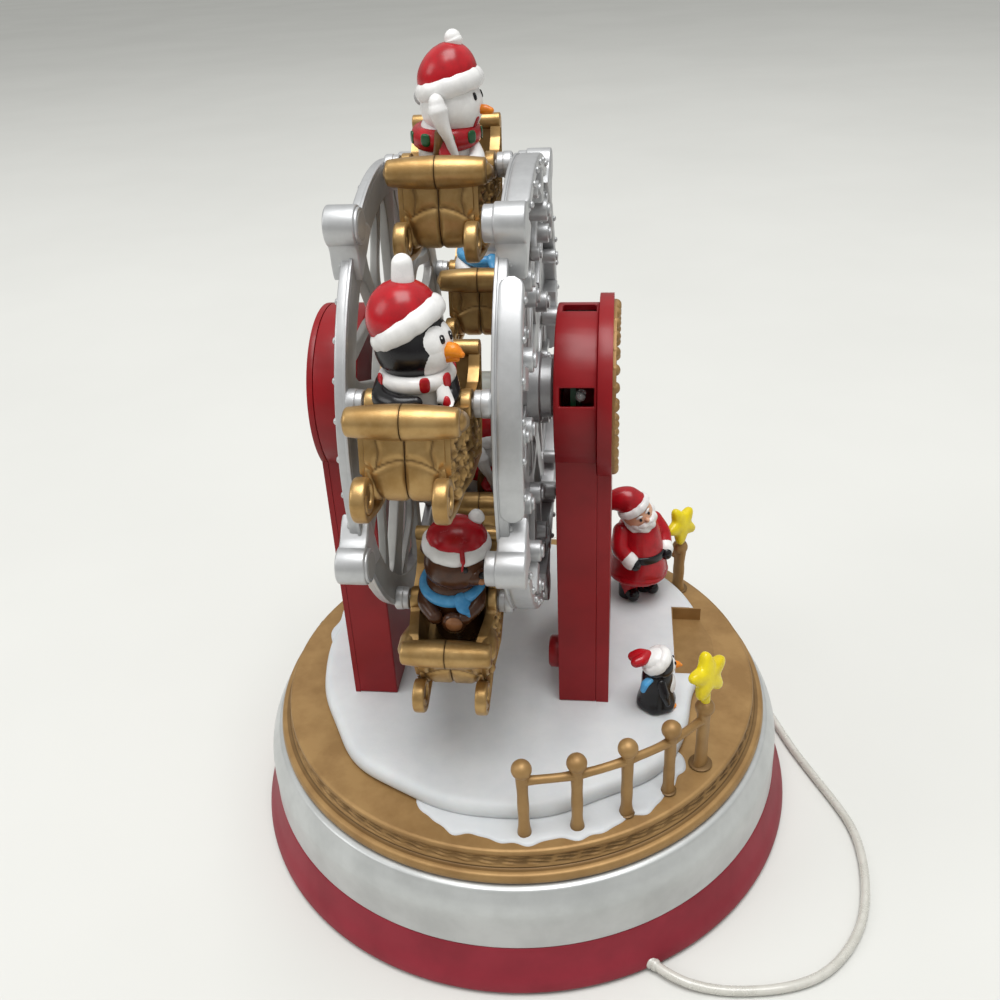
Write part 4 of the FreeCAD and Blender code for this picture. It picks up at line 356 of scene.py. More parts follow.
# Enamel paints on the figures: glossy with small brush marks.
for shade, pair in {
    "red_enamel": ("#b3131f", "#96101a"), "white_enamel": ("#e9e8e6", "#dad9d8"),
    "black_enamel": ("#0b0a0c", "#141216"), "orange_enamel": ("#e58a1e", "#cf6f14"),
    "green_enamel": ("#1f5a33", "#184a29"), "blue_enamel": ("#3f8cc4", "#5aa6d6"),
    "brown_enamel": ("#54321c", "#422515"), "tan_enamel": ("#9c6b45", "#855636"),
    "skin_enamel": ("#dba98c", "#cf9a7c"), "grey_enamel": ("#a9a8a8", "#979696"),
    "yellow_enamel": ("#e3cf1c", "#d2bb14"), "bronze_enamel": ("#7c5a33", "#5e4225"),
}.items():
    finish(shade, pair, 5, 0.5, 0.012, (0.18, 0.32), {"Specular IOR Level": 0.4}, "#2a1c14", 0.6)
# Black ABS of the small controls and the inner cases: fine spark-eroded texture.
finish("black_abs", ("#1b1b1c", "#232324"), 8, 0.25, 0.02, (0.45, 0.6))
# Rubber feet: soft black with a chalky bloom.
finish("foot_rubber", ("#1d1d1c", "#2b2a29"), 5, 0.5, 0.03, (0.7, 0.85))
# Zinc plated steel: cool grey, lightly clouded.
finish("zinc_steel", ("#b6b8ba", "#9fa2a5"), 4, 0.2, 0.005, (0.25, 0.4), {"Metallic": 1.0})
# Ground steel axle.
finish("ground_steel", ("#c4c5c6", "#b2b4b6"), 3, 0.15, 0.004, (0.16, 0.26), {"Metallic": 1.0})
# Glass fibre board under green solder mask.
finish("solder_mask", ("#1d5b3a", "#19502f"), 6, 0.6, 0.01, (0.3, 0.42))
# Pressed paper cone: fibrous dark grey.
finish("cone_paper", ("#2c2b2a", "#3a3937"), 3, 0.4, 0.05, (0.8, 0.9))
# Natural nylon bearings: milky and waxy.
finish("nylon", ("#dcdad0", "#cfcdc2"), 6, 0.4, 0.006, (0.35, 0.45), {"Subsurface Weight": 0.1})
# Clear epoxy lamps: bright edges, dark core.
finish("clear_epoxy", ("#f2f2f0", "#e6e6e4"), 3, 0.5, 0.004, (0.03, 0.08),
       {"Transmission Weight": 0.85, "IOR": 1.54})
# Clear vinyl cord over pale strands: milky with a thin gloss.
finish("clear_vinyl", ("#d9d7cf", "#cbc9c0"), 6, 0.6, 0.01, (0.22, 0.32),
       {"Transmission Weight": 0.25, "IOR": 1.52, "Coat Weight": 0.3})


# Short names of the finishes that many surfaces share
CAST_GOLD, DECK_GOLD, SILVER, SHADED_SILVER, SNOW = "antique_gold", "matt_gold", "silver_coat", "shaded_silver", "snow_styrene"
RED, WHITE, BLACK, ORANGE, GREEN, BLUE, BROWN, TAN, SKIN_TONE, GREY, YELLOW, BRONZE = (
    f"{shade}_enamel" for shade in "red white black orange green blue brown tan skin grey yellow bronze".split())


def dress(finish_name, *names):
    """Gives CAD nodes their finish; their own meshes stay as they are."""
    for name in names:
        slots = NODES[name].data.materials
        slots.clear()
        slots.append(FINISHES[finish_name])


dress(DECK_GOLD, "bead_ring")
dress("red_abs", "front_tower", "front_plate", "rear_tower", "rear_cover", "boss_cap")
dress("black_abs", "bottom_plate", "board_parts", "speaker_frame", "switch_case", "switch_slider",
      "volume_case", "volume_knob", "drive_motor")
dress("foot_rubber", "rubber_feet")
dress("zinc_steel", "bottom_screws", "motor_screws", "tower_screws", "axle_clip")
dress("ground_steel", "wheel_axle")
dress("solder_mask", "circuit_board", "led_board")
dress("cone_paper", "speaker_cone")
dress("nylon", "front_bush", "rear_bush", "hub_spacer", "drive_sleeve")
dress("clear_epoxy", "front_leds")


# Cord: out of the rim's strain relief, round the base and into its coil behind

CORD_RADIUS = 1.5
EXIT = np.array((50.7, -87.82, 2.6))
EXIT_ANGLE = math.radians(-35)
EXIT_RUN = 7
FLOOR_LEVEL = 1.6
ROUTE = (
    (68.0, -93.6), (80.0, -92.9), (92.0, -90.4), (102.0, -85.8), (110.6, -77.4), (117.4, -66.6), (121.2, -54.0),
    (122.8, -40.0), (121.9, -27.5), (117.4, -15.6), (111.6, -3.0), (105.6, 11.0), (100.8, 25.6), (95.6, 40.6),
    (87.6, 56.4), (77.4, 71.4), (67.4, 86.0), (57.6, 101.0), (47.6, 118.6),
)
COIL_MIDDLE = (12, 128)
COIL_INNER, COIL_PITCH, COIL_TURNS, COIL_START = 10.2, 3.5, 8.25, math.radians(40)
PLUG_LEAD, COIL_LEAD, POINTS_PER_TURN = 21, 9, 12
SHELL_FROM, SHELL_TO, SHELL_HALF, SHELL_WALL = 22, 33.9, 5.9, 0.5


def coil_points(turns):
    """Spiral in on the floor and out again on top: radius grows by the pitch per turn away from the middle turn."""
    half = COIL_TURNS / 2
    climb = np.clip((turns - (half - 0.25)) / 0.5, 0, 1)
    radius = COIL_INNER + COIL_PITCH * np.abs(turns - half)
    angle = COIL_START + TAU * turns
    height = FLOOR_LEVEL + COIL_PITCH * climb * climb * (3 - 2 * climb)
    x, y = COIL_MIDDLE
    return np.column_stack([x + radius * np.cos(angle), y + radius * np.sin(angle), height])


def cord_curve(name, points, finish_name):
    """A round cord along the smooth line that its control points shape."""
    data = bpy.data.curves.new(name, "CURVE")
    data.dimensions = "3D"
    data.bevel_depth = CORD_RADIUS * MM
    data.bevel_resolution = 4
    data.use_fill_caps = True
    spline = data.splines.new("NURBS")
    spline.points.add(len(points) - 1)
    spline.points.foreach_set("co", np.column_stack([np.asarray(points) * MM, np.ones(len(points))]).ravel())
    spline.order_u = 3
    spline.use_endpoint_u = True
    data.resolution_u = 8
    data.materials.append(FINISHES[finish_name])
    return linked(name, data)


def make_cord():
    """One unbroken cord: the free run by listed points, then the coil by points at equal angles."""
    along = np.array((math.cos(EXIT_ANGLE), math.sin(EXIT_ANGLE), 0))
    turns = np.arange(0, COIL_TURNS + 1e-6, 1 / POINTS_PER_TURN)
    coil = coil_points(turns)
    step = 1e-4
    into = unit(coil_points(np.array([step])) - coil_points(np.array([-step])))[0]
    out = unit(coil_points(np.array([COIL_TURNS + step])) - coil_points(np.array([COIL_TURNS - step])))[0]
    run = [EXIT, EXIT + along * EXIT_RUN] + [np.array((x, y, FLOOR_LEVEL)) for x, y in ROUTE]
    points = np.vstack([run, [coil[0] - into * COIL_LEAD], coil, [coil[-1] + out * PLUG_LEAD]])
    cord = cord_curve("supply_cord", points, "clear_vinyl")
    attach(cord, "base")
    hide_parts("power_cord", "cord_coil")
    return cord


supply_cord = make_cord()


def make_gland():
    """Strain relief: a collar, then a cone with four grooves, round the cord's first stretch."""
    along = (math.cos(EXIT_ANGLE), math.sin(EXIT_ANGLE), 0)
    reach = np.linspace(-11, 0, 56)
    radius = np.where(reach < -4, 2.35, 2.35 - 0.55 * (reach + 4) / 4)
    radius = radius - 0.18 * (np.cos(reach * TAU / 1.6) > 0.4) * (reach > -6.5)
    skin = Skin().add(turned(np.column_stack([reach, radius]), EXIT, along, 32), "clear_vinyl")
    return mould("strain_relief", skin, "base", ["cord_gland"])


strain_relief = make_gland()


def make_plug():
    """Grip with rounded edges and finger ribs, and a flat metal shell with its tongue."""
    turns = np.array([COIL_TURNS - 1e-4, COIL_TURNS + 1e-4])
    ends = coil_points(turns)
    along = unit(ends[1] - ends[0])
    start = ends[1] + along * PLUG_LEAD
    side = np.array((-along[1], along[0], 0))
    turn = np.array([along, side, (0, 0, 1)])

    def place(points):
        return start + points @ turn

    grow = np.array([0.1, 0.5, 1.2, 2.2, 4, 6.5, 7, 7.5, 9, 9.5, 10, 11.5, 12, 12.5, 14, 14.5, 15, 18,
                     20.5, 21.5, 21.9])
    rib = 0.35 * np.isin(grow, (7, 9.5, 12, 14.5))
    taper = np.clip(grow / 4, 0, 1) ** 0.5
    wide = np.where(grow < 4, 3 + 4.4 * taper, 7.4) - rib - 0.8 * (grow > 21.6)
    high = np.where(grow < 4, 2.4 + 2.5 * taper, 4.9) - rib - 0.8 * (grow > 21.6)
    path = np.column_stack([grow, 0 * grow, 0 * grow])
    skin = Skin(place)
    skin.add(carried(path, wide, high, (0, 0, 1), 36, 4.5), WHITE)
    outline = np.array([(SHELL_FROM, -SHELL_HALF), (SHELL_TO, -SHELL_HALF), (SHELL_TO, SHELL_HALF),
                        (SHELL_FROM, SHELL_HALF)])
    skin.add(plate(outline, -2.2, 0.1, 0.25, axis=2), "zinc_steel", "flat")
    skin.add(plate(outline, 1.8, 2.2, 0.15, axis=2), "zinc_steel", "flat")
    for edge in (-1, 1):
        outside, inside = edge * SHELL_HALF, edge * (SHELL_HALF - SHELL_WALL)
        rail = np.array([(SHELL_FROM, outside), (SHELL_TO, outside), (SHELL_TO, inside), (SHELL_FROM, inside)])
        skin.add(plate(rail, 0.0, 1.9, 0.1, axis=2), "zinc_steel", "flat")
    return mould("supply_plug", skin, "base", ["cord_plug"])


supply_plug = make_plug()


# Gondolas

AXLE_Z = 162.3
PIVOT_CIRCLE, FIRST_PIVOT, FIFTH = 66.72, 21.06, 72
SLEIGH_X = -13.5
TILTS = (-5.5, 0, 0, 0, 25)


def across(radius, angle):
    """(y, z) of a point of the wheel's plane."""
    turn = np.radians(angle)
    return -radius * np.cos(turn), AXLE_Z + radius * np.sin(turn)


def gondola_place(number):
    """Moves points of a gondola's own frame to its place on the wheel, leaning by its tilt."""
    y, z = across(PIVOT_CIRCLE, FIRST_PIVOT + FIFTH * number)
    lean = spun("X", TILTS[number])
    return lambda points: np.array((SLEIGH_X, y, z)) + points @ lean


SHELL_LINE = ((-19, 1.2), (-19.6, -2.5), (-20.4, -7), (-20.9, -11), (-20.5, -14.6), (-18.4, -17.2), (-14.5, -18.2),
              (-8, -18.3), (0, -18.3), (8, -18.3), (12.3, -17.9), (14.2, -13), (16, -8), (17.5, -3.6), (18.9, 2.5),
              (19.8, 8.8))


NOSE_RUN, SHEET, SWELL, CREASE = 24, 2.1, 0.6, 0.8
FRONT_ROLL_AT, HEAD_ROLL_AT = (0, -19.5, 2.5), (0, 18.4, 8.6)


def flare(y):
    """Half width of the trough: narrow at the nose, full behind the pivots."""
    return 9.8 + 2.2 * np.clip((y + 18.5) / 14, 0, 1) ** 0.8


def crease_depth(z, x):
    """Distance from the nose's creases: the seam, an arch across, uprights above it and slanting sides below it."""
    wide = np.abs(x)
    arch = -6.4 - 0.045 * wide**2
    above, below = z > arch, z < -9.2
    upright = np.where(above, np.abs(wide - 6.5 + 0.25 * np.sin(z)), 9)
    slant = np.where(below, np.abs(wide - 8.3 - 0.24 * (z + 9.2)), 9)
    outward = np.where(wide > 7.6, np.abs(z + 9.2 - 0.75 * (wide - 7.6)), 9)
    across_nose = np.where(wide < 8.2, np.abs(z - arch), 9)
    return np.minimum.reduce([upright, slant, outward, across_nose, wide * 1.4])


def add_trough(skin):
    """Nose, keel and back of the half at +X in one thick sheet, its outside swollen between the creases."""
    line = through(SHELL_LINE, 120)
    run = np.concatenate([[0], np.cumsum(np.linalg.norm(np.diff(line, axis=0), axis=1))])
    way = unit(np.gradient(line, axis=0))
    out = np.column_stack([way[:, 1], -way[:, 0]])
    share = np.linspace(0.012, 0.995, 30)
    width = flare(line[:, 0])
    x = share[:, None] * width[None, :]
    nose = np.clip((NOSE_RUN - run[None, :]) / 3, 0, 1)
    gap = crease_depth(line[None, :, 1] + 0 * x, x)
    swell = SWELL * (1 - np.exp(-(gap / CREASE) ** 2)) * nose
    swell = np.where(share[:, None] > 0.97, swell - 0.5, swell)
    outer = np.stack([x, line[None, :, 0] + out[None, :, 0] * swell, line[None, :, 1] + out[None, :, 1] * swell], -1)
    hollow = line - out * SHEET
    inner = np.stack([x, 0 * x + hollow[None, :, 0], 0 * x + hollow[None, :, 1]], -1)[:, ::-1]
    grid = np.concatenate([outer, inner], 1)
    # Darker in the nose's creases, brown antiquing deepened as painted shade, and evenly on the inside of the sheet
    # as painted shade.
    dark = np.concatenate([np.exp(-(gap / 0.24) ** 2) * nose * 0.8, 0 * inner[..., 0] + 0.35], 1)
    skin.add(grid, CAST_GOLD, "flat", wash=dark)


def spiral(middle, size, turns, start, hand=1):
    """Points of a scroll that winds in: radius size * (1 - share) ** 0.8 over so many turns."""
    share = np.linspace(0, 0.93, 60)
    angle = start + hand * TAU * turns * share
    radius = size * (1 - share) ** 0.8
    return np.column_stack([middle[0] + radius * np.cos(angle), middle[1] + radius * np.sin(angle)])


SCROLLS = np.vstack([spiral(*values) for values in (
    ((-12.6, -3.2), 4.2, 1.6, 2.4), ((-5.2, -6.0), 4.6, 1.7, 0.4, -1), ((3.4, -5.2), 4.8, 1.7, 2.7),
    ((11.2, -6.4), 4.4, 1.6, 0.6, -1), ((-9.8, -10.4), 2.6, 1.3, 1.2, -1), ((0.2, -10.6), 2.4, 1.3, 4.0),
    ((-15.6, -13.2), 3.4, 1.5, 0.6), ((-8.2, -14.6), 2.8, 1.4, 3.6, -1), ((-1.4, -15.0), 2.7, 1.4, 0.2),
    ((5.4, -14.6), 2.9, 1.5, 2.9, -1), ((11.2, -14.2), 2.6, 1.3, 5.6), ((-18.6, -8.6), 2.0, 1.1, 4.4),
    ((14.6, 0.6), 3.4, 1.5, 3.4), ((16.4, 6.0), 2.2, 1.2, 5.0, -1), ((-16.4, 0.0), 2.4, 1.2, 0.0),
    ((7.6, -10.8), 2.2, 1.2, 5.2, -1), ((8.0, -0.8), 1.9, 1.1, 2.0), ((-0.8, -1.2), 1.8, 1.1, 4.4, -1),
)])
LEAVES = np.array((
    (-15, -7.2), (-8.8, -1.0), (-3.0, -2.6), (5.4, -9.4), (13.4, -2.4), (-12.4, -9.0), (3.6, -0.6), (11.6, -11.2),
    (-5.8, -11.6), (17.8, 2.4), (-11.6, -16.2), (1.8, -12.6), (8.4, -16.6), (-4.6, -17.0),
))
RIDGE, LEAF, RIM_BEAD, RELIEF = 0.62, 1.15, 0.9, 1.25


def add_side(skin):
    """Side wall: top and bottom line over y, its outside raised where a scroll or a leaf passes near."""
    y = np.linspace(-20.9, 20.2, 116)
    top = np.interp(y, (-20.9, -20.3, -19.5, -18.6, -17, -14, -8, -5, 7, 11.5, 15, 17.2, 19.2, 20.2),
                    (-9.6, -5, 0.4, 2.4, 3.4, 3.9, 1.8, 0.9, 0.9, 1.6, 4.6, 9.0, 10.2, 8.8))
    low = np.interp(y, (-20.9, -20.6, -19.6, -17.8, -15.2, -13.5, 12.3, 14.2, 17.4, 19.6, 20.2),
                    (-11.4, -14.2, -16.4, -17.6, -18.3, -18.4, -18.3, -13, -4.2, 6.6, 8.2))
    share = np.linspace(0, 1, 52)
    z = low[None, :] + share[:, None] * (top - low)[None, :]
    spread = y[None, :] + 0 * z
    flat = np.stack([spread, z], -1)
    near = np.full(z.shape, 9.0)
    for chunk in np.array_split(SCROLLS, 18):
        near = np.minimum(near, np.linalg.norm(flat[:, :, None] - chunk, axis=-1).min(-1))
    leaf = np.linalg.norm(flat[:, :, None] - LEAVES, axis=-1).min(-1)
    rim = np.minimum(z - low, top - z)
    swells = ((near, RIDGE), (leaf, LEAF), (rim, RIM_BEAD))
    rise = np.maximum.reduce([np.exp(-(gap / wide) ** 2) for gap, wide in swells])
    wall = flare(y)[None, :] - 0.2
    outer = np.stack([wall + RELIEF * rise, spread, z], -1)
    inner = np.stack([wall - 1.6 + 0 * z, spread, z], -1)
    loop = np.concatenate([outer, inner[::-1]], 0).transpose(1, 0, 2)
    # Darker outside away from the raised scrolls and leaves, brown antiquing deepened as painted shade, and evenly on
    # the inner face as painted shade.
    dark = np.concatenate([(1 - rise) ** 1.5, 0 * z + 0.4], 0).T
    skin.add(loop, CAST_GOLD, "flat", wash=dark)


def add_runner(skin):
    """Runner: one strip that runs below the keel, rises at the nose and winds in as a scroll round a thin web."""
    middle, nose, height, radius = 9.5, -25.4, -14.0, 5.0
    turns = 1.35
    turn = np.linspace(-math.pi / 2, -math.pi / 2 - TAU * turns, 90)
    inward = radius * (1 - 0.5 * np.linspace(0, 1, 90) ** 1.1)
    scroll = np.column_stack([nose + inward * np.cos(turn), height + inward * np.sin(turn)])
    bottom = through(((15.4, -18.7), (14.2, -19.9), (10, -20.4), (0, -20.5), (-12, -20.4), (-19, -20.0),
                      (-24.6, -19.05)), 44)
    path = np.vstack([bottom, scroll[2:]])
    strip = np.column_stack([np.full(len(path), middle), path])
    skin.add(carried(strip, 0.95, 1.8, (1, 0, 0), 22, 3.6), CAST_GOLD)
    # The web inside the scroll is darkened: painted shade in the recess.
    skin.add(turned(drum(-1.1, 1.1, radius - 0.4, 0.2), (middle, nose, height), cols=40), CAST_GOLD, wash=0.75)
    for foot, top in (((-13, -19.8), (-14.4, -17.4)), ((8.5, -19.8), (9.8, -17.4))):
        strut = np.array([(middle, *foot), (middle + 0.3, (foot[0] + top[0]) / 2, -18.7), (middle + 0.6, *top)])
        skin.add(limb(strut, (2.0, 1.6, 2.1), 12, 16), CAST_GOLD)


def add_rolls(skin):
    """Front roll, a barrel thickest at the seam, head roll, and the ear with its pin."""
    along = np.linspace(0.12, 12.9, 26)
    barrel = 4.27 - 0.85 * (along / 13.4) ** 2
    roll = np.vstack([((0.06, 0.1), (0.06, 3.9), (0.09, 4.15)), np.column_stack([along, barrel]),
                      ((13.25, 3.2), (13.45, 2.9), (13.5, 2.5), (13.5, 0.1))])
    shade = np.exp(-(roll[:, 0] / 0.16) ** 2) * 0.9 + 0.25 * (roll[:, 0] > 13.2)
    skin.add(turned(roll, FRONT_ROLL_AT), CAST_GOLD, wash=shade[:, None])
    # The ear is evenly darkened a little: painted shade.
    skin.add(limb(((12.2, -18.2, 2.2), (11.9, -14.6, 1.0), (11.5, -11, -0.4)), (2.6, 2.9, 2.2), 14, 20),
             CAST_GOLD, wash=0.2)
    head = drum(0.08, 13.0, 2.3, 0.35)
    skin.add(turned(head, HEAD_ROLL_AT, cols=32), CAST_GOLD)
    skin.add(turned(drum(10.4, 13.3, 3.75, 0.5)), CAST_GOLD)
    skin.add(turned(drum(12.6, 19.9, 1.5, 0.3), cols=24), SILVER)


def make_sleighs():
    """Each sleigh is two halves that meet at the seam; the rear one is the front one mirrored in X."""
    for number in range(5):
        set_down = gondola_place(number)
        for side, half in ((1, "front"), (-1, "rear")):
            skin = Skin(lambda points: set_down(points * (side, 1, 1)))
            for add_part in (add_trough, add_side, add_runner, add_rolls):
                add_part(skin)
            mould(f"carved_sleigh_{number + 1}_{half}", skin, f"gondola_{number + 1}",
                  [f"sleigh_{number + 1}_{half}"])


make_sleighs()


# Riders

def facing(angle, reach, height, shift=0.0):
    """A point that far from the head's middle line; 0 degrees looks along -Y, 90 along +X."""
    turn = math.radians(angle)
    return np.array((shift + reach * math.sin(turn), -reach * math.cos(turn), height))


def leaning(middle, tilt):
    """Turns points of a hat's own frame about Y by the tilt in degrees and sets them on the head."""
    lean = spun("Y", tilt)
    return lambda points: np.asarray(middle, float) + points @ lean


def chained(first, second):
    return lambda points: second(first(points))


def fur_band(radius, thick, tall, lumps=11, cols=72):
    """Rolled fur brim: an oval section round Z whose thickness swells in uneven lumps."""
    turn = np.linspace(0, TAU, cols, endpoint=False)
    section = np.linspace(0, TAU, 20, endpoint=False)
    lump = 1 + 0.03 * np.sin(lumps * turn) + 0.02 * np.sin((lumps + 6) * turn + 1.3)
    reach = radius + thick * lump[:, None] * np.cos(section)[None, :]
    return np.stack([reach * np.cos(turn)[:, None], reach * np.sin(turn)[:, None],
                     tall * lump[:, None] * np.sin(section)[None, :]], -1)


def dome(radius, height, power=2.2, rows=26, cols=48, sway=0.0, bulge=0.06):
    """Hat crown: radius * (1 - (share ** power)) ** (1 / 2.1) up its height, swaying sideways towards its top."""
    share = np.linspace(0, 0.995, rows)
    ring = radius * (1 - share**power) ** (1 / 2.1) * (1 + bulge * np.sin(share * math.pi))
    turn = np.linspace(0, TAU, cols, endpoint=False)
    fold = 1 + 0.015 * np.sin(5 * turn)[None, :] * share[:, None]
    x = ring[:, None] * fold * np.cos(turn)[None, :] + sway * share[:, None] ** 2
    y = ring[:, None] * fold * np.sin(turn)[None, :]
    return np.stack([x, y, height * share[:, None] + 0 * x], -1)


def scarf_ring(radius, thick, tall, height, tilt=0.0, cols=64):
    """Scarf round the neck: an oval section on a circle, higher at the back and softly folded."""
    turn = np.linspace(0, TAU, cols, endpoint=False)
    section = np.linspace(0, TAU, 18, endpoint=False)
    fold = 1 + 0.06 * np.sin(4 * turn + 0.5)
    reach = radius + thick * fold[:, None] * np.cos(section)[None, :]
    lift = height + tilt * np.sin(turn)[:, None] + tall * np.sin(section)[None, :]
    return np.stack([reach * np.cos(turn)[:, None], reach * np.sin(turn)[:, None], lift + 0 * reach], -1)


def patch_on(middle, radius, angle, height, wide, tall, proud=0.25):
    """A small rounded tile of paint on a ball of that radius."""
    turn = math.radians(angle)
    level = math.asin(max(-1, min(1, (height - middle[2]) / radius)))
    out = np.array((math.sin(turn) * math.cos(level), -math.cos(turn) * math.cos(level), math.sin(level)))
    side = np.array((math.cos(turn), math.sin(turn), 0))
    top = np.cross(side, out) * -1
    centre = np.asarray(middle) + out * (radius - 0.1)
    grid = ball((0, 0, 0), (wide, tall, proud + 0.1), 10, 20, 3.0)
    return centre + grid @ np.array([side, top, out])


def add_hat(skin, middle, tilt, brim, height, bobble=None, bobble_tall=0.0, sway=0.0, off=None):
    """Red crown, fur brim and, where its size is given, a white bobble, off the crown's top when told so."""
    set_on = chained(leaning(middle, tilt), skin.place)
    skin.add(dome(brim - 0.2, height, sway=sway), RED, place=set_on)
    skin.add(fur_band(brim - 1.1, 2.3, 2.8), WHITE, loop=True, place=set_on)
    if bobble is None:
        return
    x, y = off or (sway, 0)
    foot = height - (0.6 if off is None else 1.4)
    stem = ((x, y, foot), (x * 1.05, y, foot + 0.6 + bobble_tall * 0.5), (x * 1.05, y, foot + 0.6 + bobble_tall))
    skin.add(limb(stem, (bobble * 0.85, bobble, bobble * 0.9), 14, 24, (0, 1, 0)), WHITE, place=set_on)


def add_body(skin, colour, radius=8.4, top=7.0):
    """Seated trunk, rounded above and flat on the sleigh's floor."""
    share = np.linspace(0, 1, 22)
    height = -15.4 + share * (top + 8.2 + 15.4)
    ring = np.where(height < top, radius, np.sqrt(np.clip(radius**2 - (height - top) ** 2, 0.2, None)))
    skin.add(turned(np.column_stack([height, ring]), (0, 1, 0), (0, 0, 1), 40), colour)


def make_penguin(number):
    skin = Skin(gondola_place(number))
    add_body(skin, WHITE)
    head = np.array((-0.4, 0, 15.0))
    skin.add(ball(head, (9.5, 9.4, 9.1), 30, 44), BLACK)
    look = 71
    for side in (-1, 1):
        skin.add(ball(head + facing(look + 9 * side, 2.3, -0.7), 7.45, 30, 44), WHITE)
        skin.add(ball(head + facing(look + 16 * side, 2.9, 0.75), (6.85, 6.85, 6.5), 30, 44), WHITE)
        skin.add(patch_on(head, 9.75, look + 12 * side, 17.6, 0.75, 1.1, 0.45), BLACK)
        skin.add(patch_on(head, 10.05, look + 12 * side - 2, 18.0, 0.25, 0.3, 0.15), WHITE)
    bill = (facing(look, 8.6, 14.4), facing(look, 10.8, 14.4), facing(look, 12.6, 13.7))
    skin.add(limb(bill, (2.2, 1.9, 0.8), 16, 24), ORANGE)
    skin.add(limb((facing(look, 8.6, 12.9), facing(look, 11.2, 12.6)), (1.6, 0.8), 12, 20), ORANGE)
    add_hat(skin, (-1.3, 0, 20.2), -32, 9.1, 11.0)
    finger = ((-1.7, 0, 27.6), (-1.7, 0, 31.0), (-1.6, 0, 34.2))
    skin.add(limb(finger, (2.7, 2.75, 2.5), 14, 26, (0, 1, 0)), WHITE)
    skin.add(scarf_ring(7.6, 1.9, 2.1, 7.6, 0.5), WHITE, loop=True)
    for angle in (-58, 22, 60, 116, 180):
        skin.add(patch_on((0, 0, 7.6), 9.5, angle, 7.6, 1.3, 1.9, 0.35), RED)
    tail = (facing(52, 8.6, 7.0), facing(50, 10.2, 3.0), facing(48, 10.0, -1.2))
    skin.add(limb(tail, (1.6, 2.2, 2.0), 16, 20, (0, 0, 1), 0.45), WHITE)
    skin.add(ball(facing(49, 10.9, 2.6), (1.0, 1.0, 1.9), 12, 16), RED)
    wing = ((-7.6, -1.5, 6.0), (-7.4, -6.5, 3.6), (-3.4, -9.6, 3.0), (1.6, -10.2, 3.9))
    skin.add(limb(wing, (2.6, 2.7, 2.5, 1.4), 24, 24, (0, 0, 1), 1.1), BLACK)
    other = ((7.6, 1.0, 5.6), (8.4, -3.0, 3.2), (6.8, -6.8, 1.4))
    skin.add(limb(other, (2.4, 2.4, 1.2), 20, 20, (0, 0, 1)), BLACK)
    mould(f"penguin_rider_{number + 1}", skin, f"gondola_{number + 1}", [f"rider_{number + 1}"])


def make_snowman(number):
    skin = Skin(gondola_place(number))
    add_body(skin, WHITE)
    head = (2.0, 0, 16.0)
    skin.add(ball(head, (8.7, 8.7, 8.5), 30, 44), WHITE)
    look = 79
    for eye in (-19, 20):
        skin.add(patch_on(head, 8.7, look + eye, 18.6, 0.6, 1.05, 0.3), BLACK)
    nose = (facing(look, 8.0, 15.0, 2.0), facing(look, 9.8, 14.9, 2.0), facing(look, 11.2, 14.6, 2.0))
    skin.add(limb(nose, (1.3, 1.25, 0.9), 14, 20), ORANGE)
    skin.add(patch_on(head, 8.7, look - 12, 12.0, 0.9, 1.5, 0.25), RED)
    add_hat(skin, (1.8, 0, 21.2), -14, 8.5, 10.4, 2.5, 1.0, 1.6, (4.2, 0))
    skin.add(ball((-6.2, 1.6, 18.2), (2.4, 2.6, 2.4)), GREY)
    skin.add(scarf_ring(7.6, 2.2, 3.0, 8.6, 0.6), RED, loop=True)
    for angle in range(-150, 181, 41):
        skin.add(patch_on((0, 0, 8.6), 9.75, angle, 8.6, 1.5, 1.7, 0.35), GREEN)
    tail = (facing(6, 9.4, 7.4), facing(8, 10.4, 4.4), facing(10, 10.2, 1.4))
    skin.add(limb(tail, (2.0, 2.2, 1.7), 16, 20, (0, 0, 1), 0.55), RED)
    stick = ((-1.2, -8.2, 0.6), (-0.9, -9.4, 5.0), (-0.3, -10.0, 10.6))
    skin.add(limb(stick, (1.5, 1.5, 1.2), 18, 16), BRONZE)
    leaf = ((3.4, -8.6, 3.6), (2.4, -9.8, 8.4), (0.9, -10.3, 12.6), (0.0, -10.2, 16.0), (-0.3, -10.0, 17.8))
    skin.add(limb(leaf, (1.7, 1.6, 2.5, 3.4, 2.7), 28, 22, (1, 0, 0), 0.8), WHITE)
    skin.add(limb(((7.4, -1.0, 5.0), (8.8, -4.6, 2.6), (7.4, -8.0, 1.4)), (2.2, 2.3, 2.4), 18, 20), WHITE)
    mould(f"snowman_rider_{number + 1}", skin, f"gondola_{number + 1}", [f"rider_{number + 1}"])


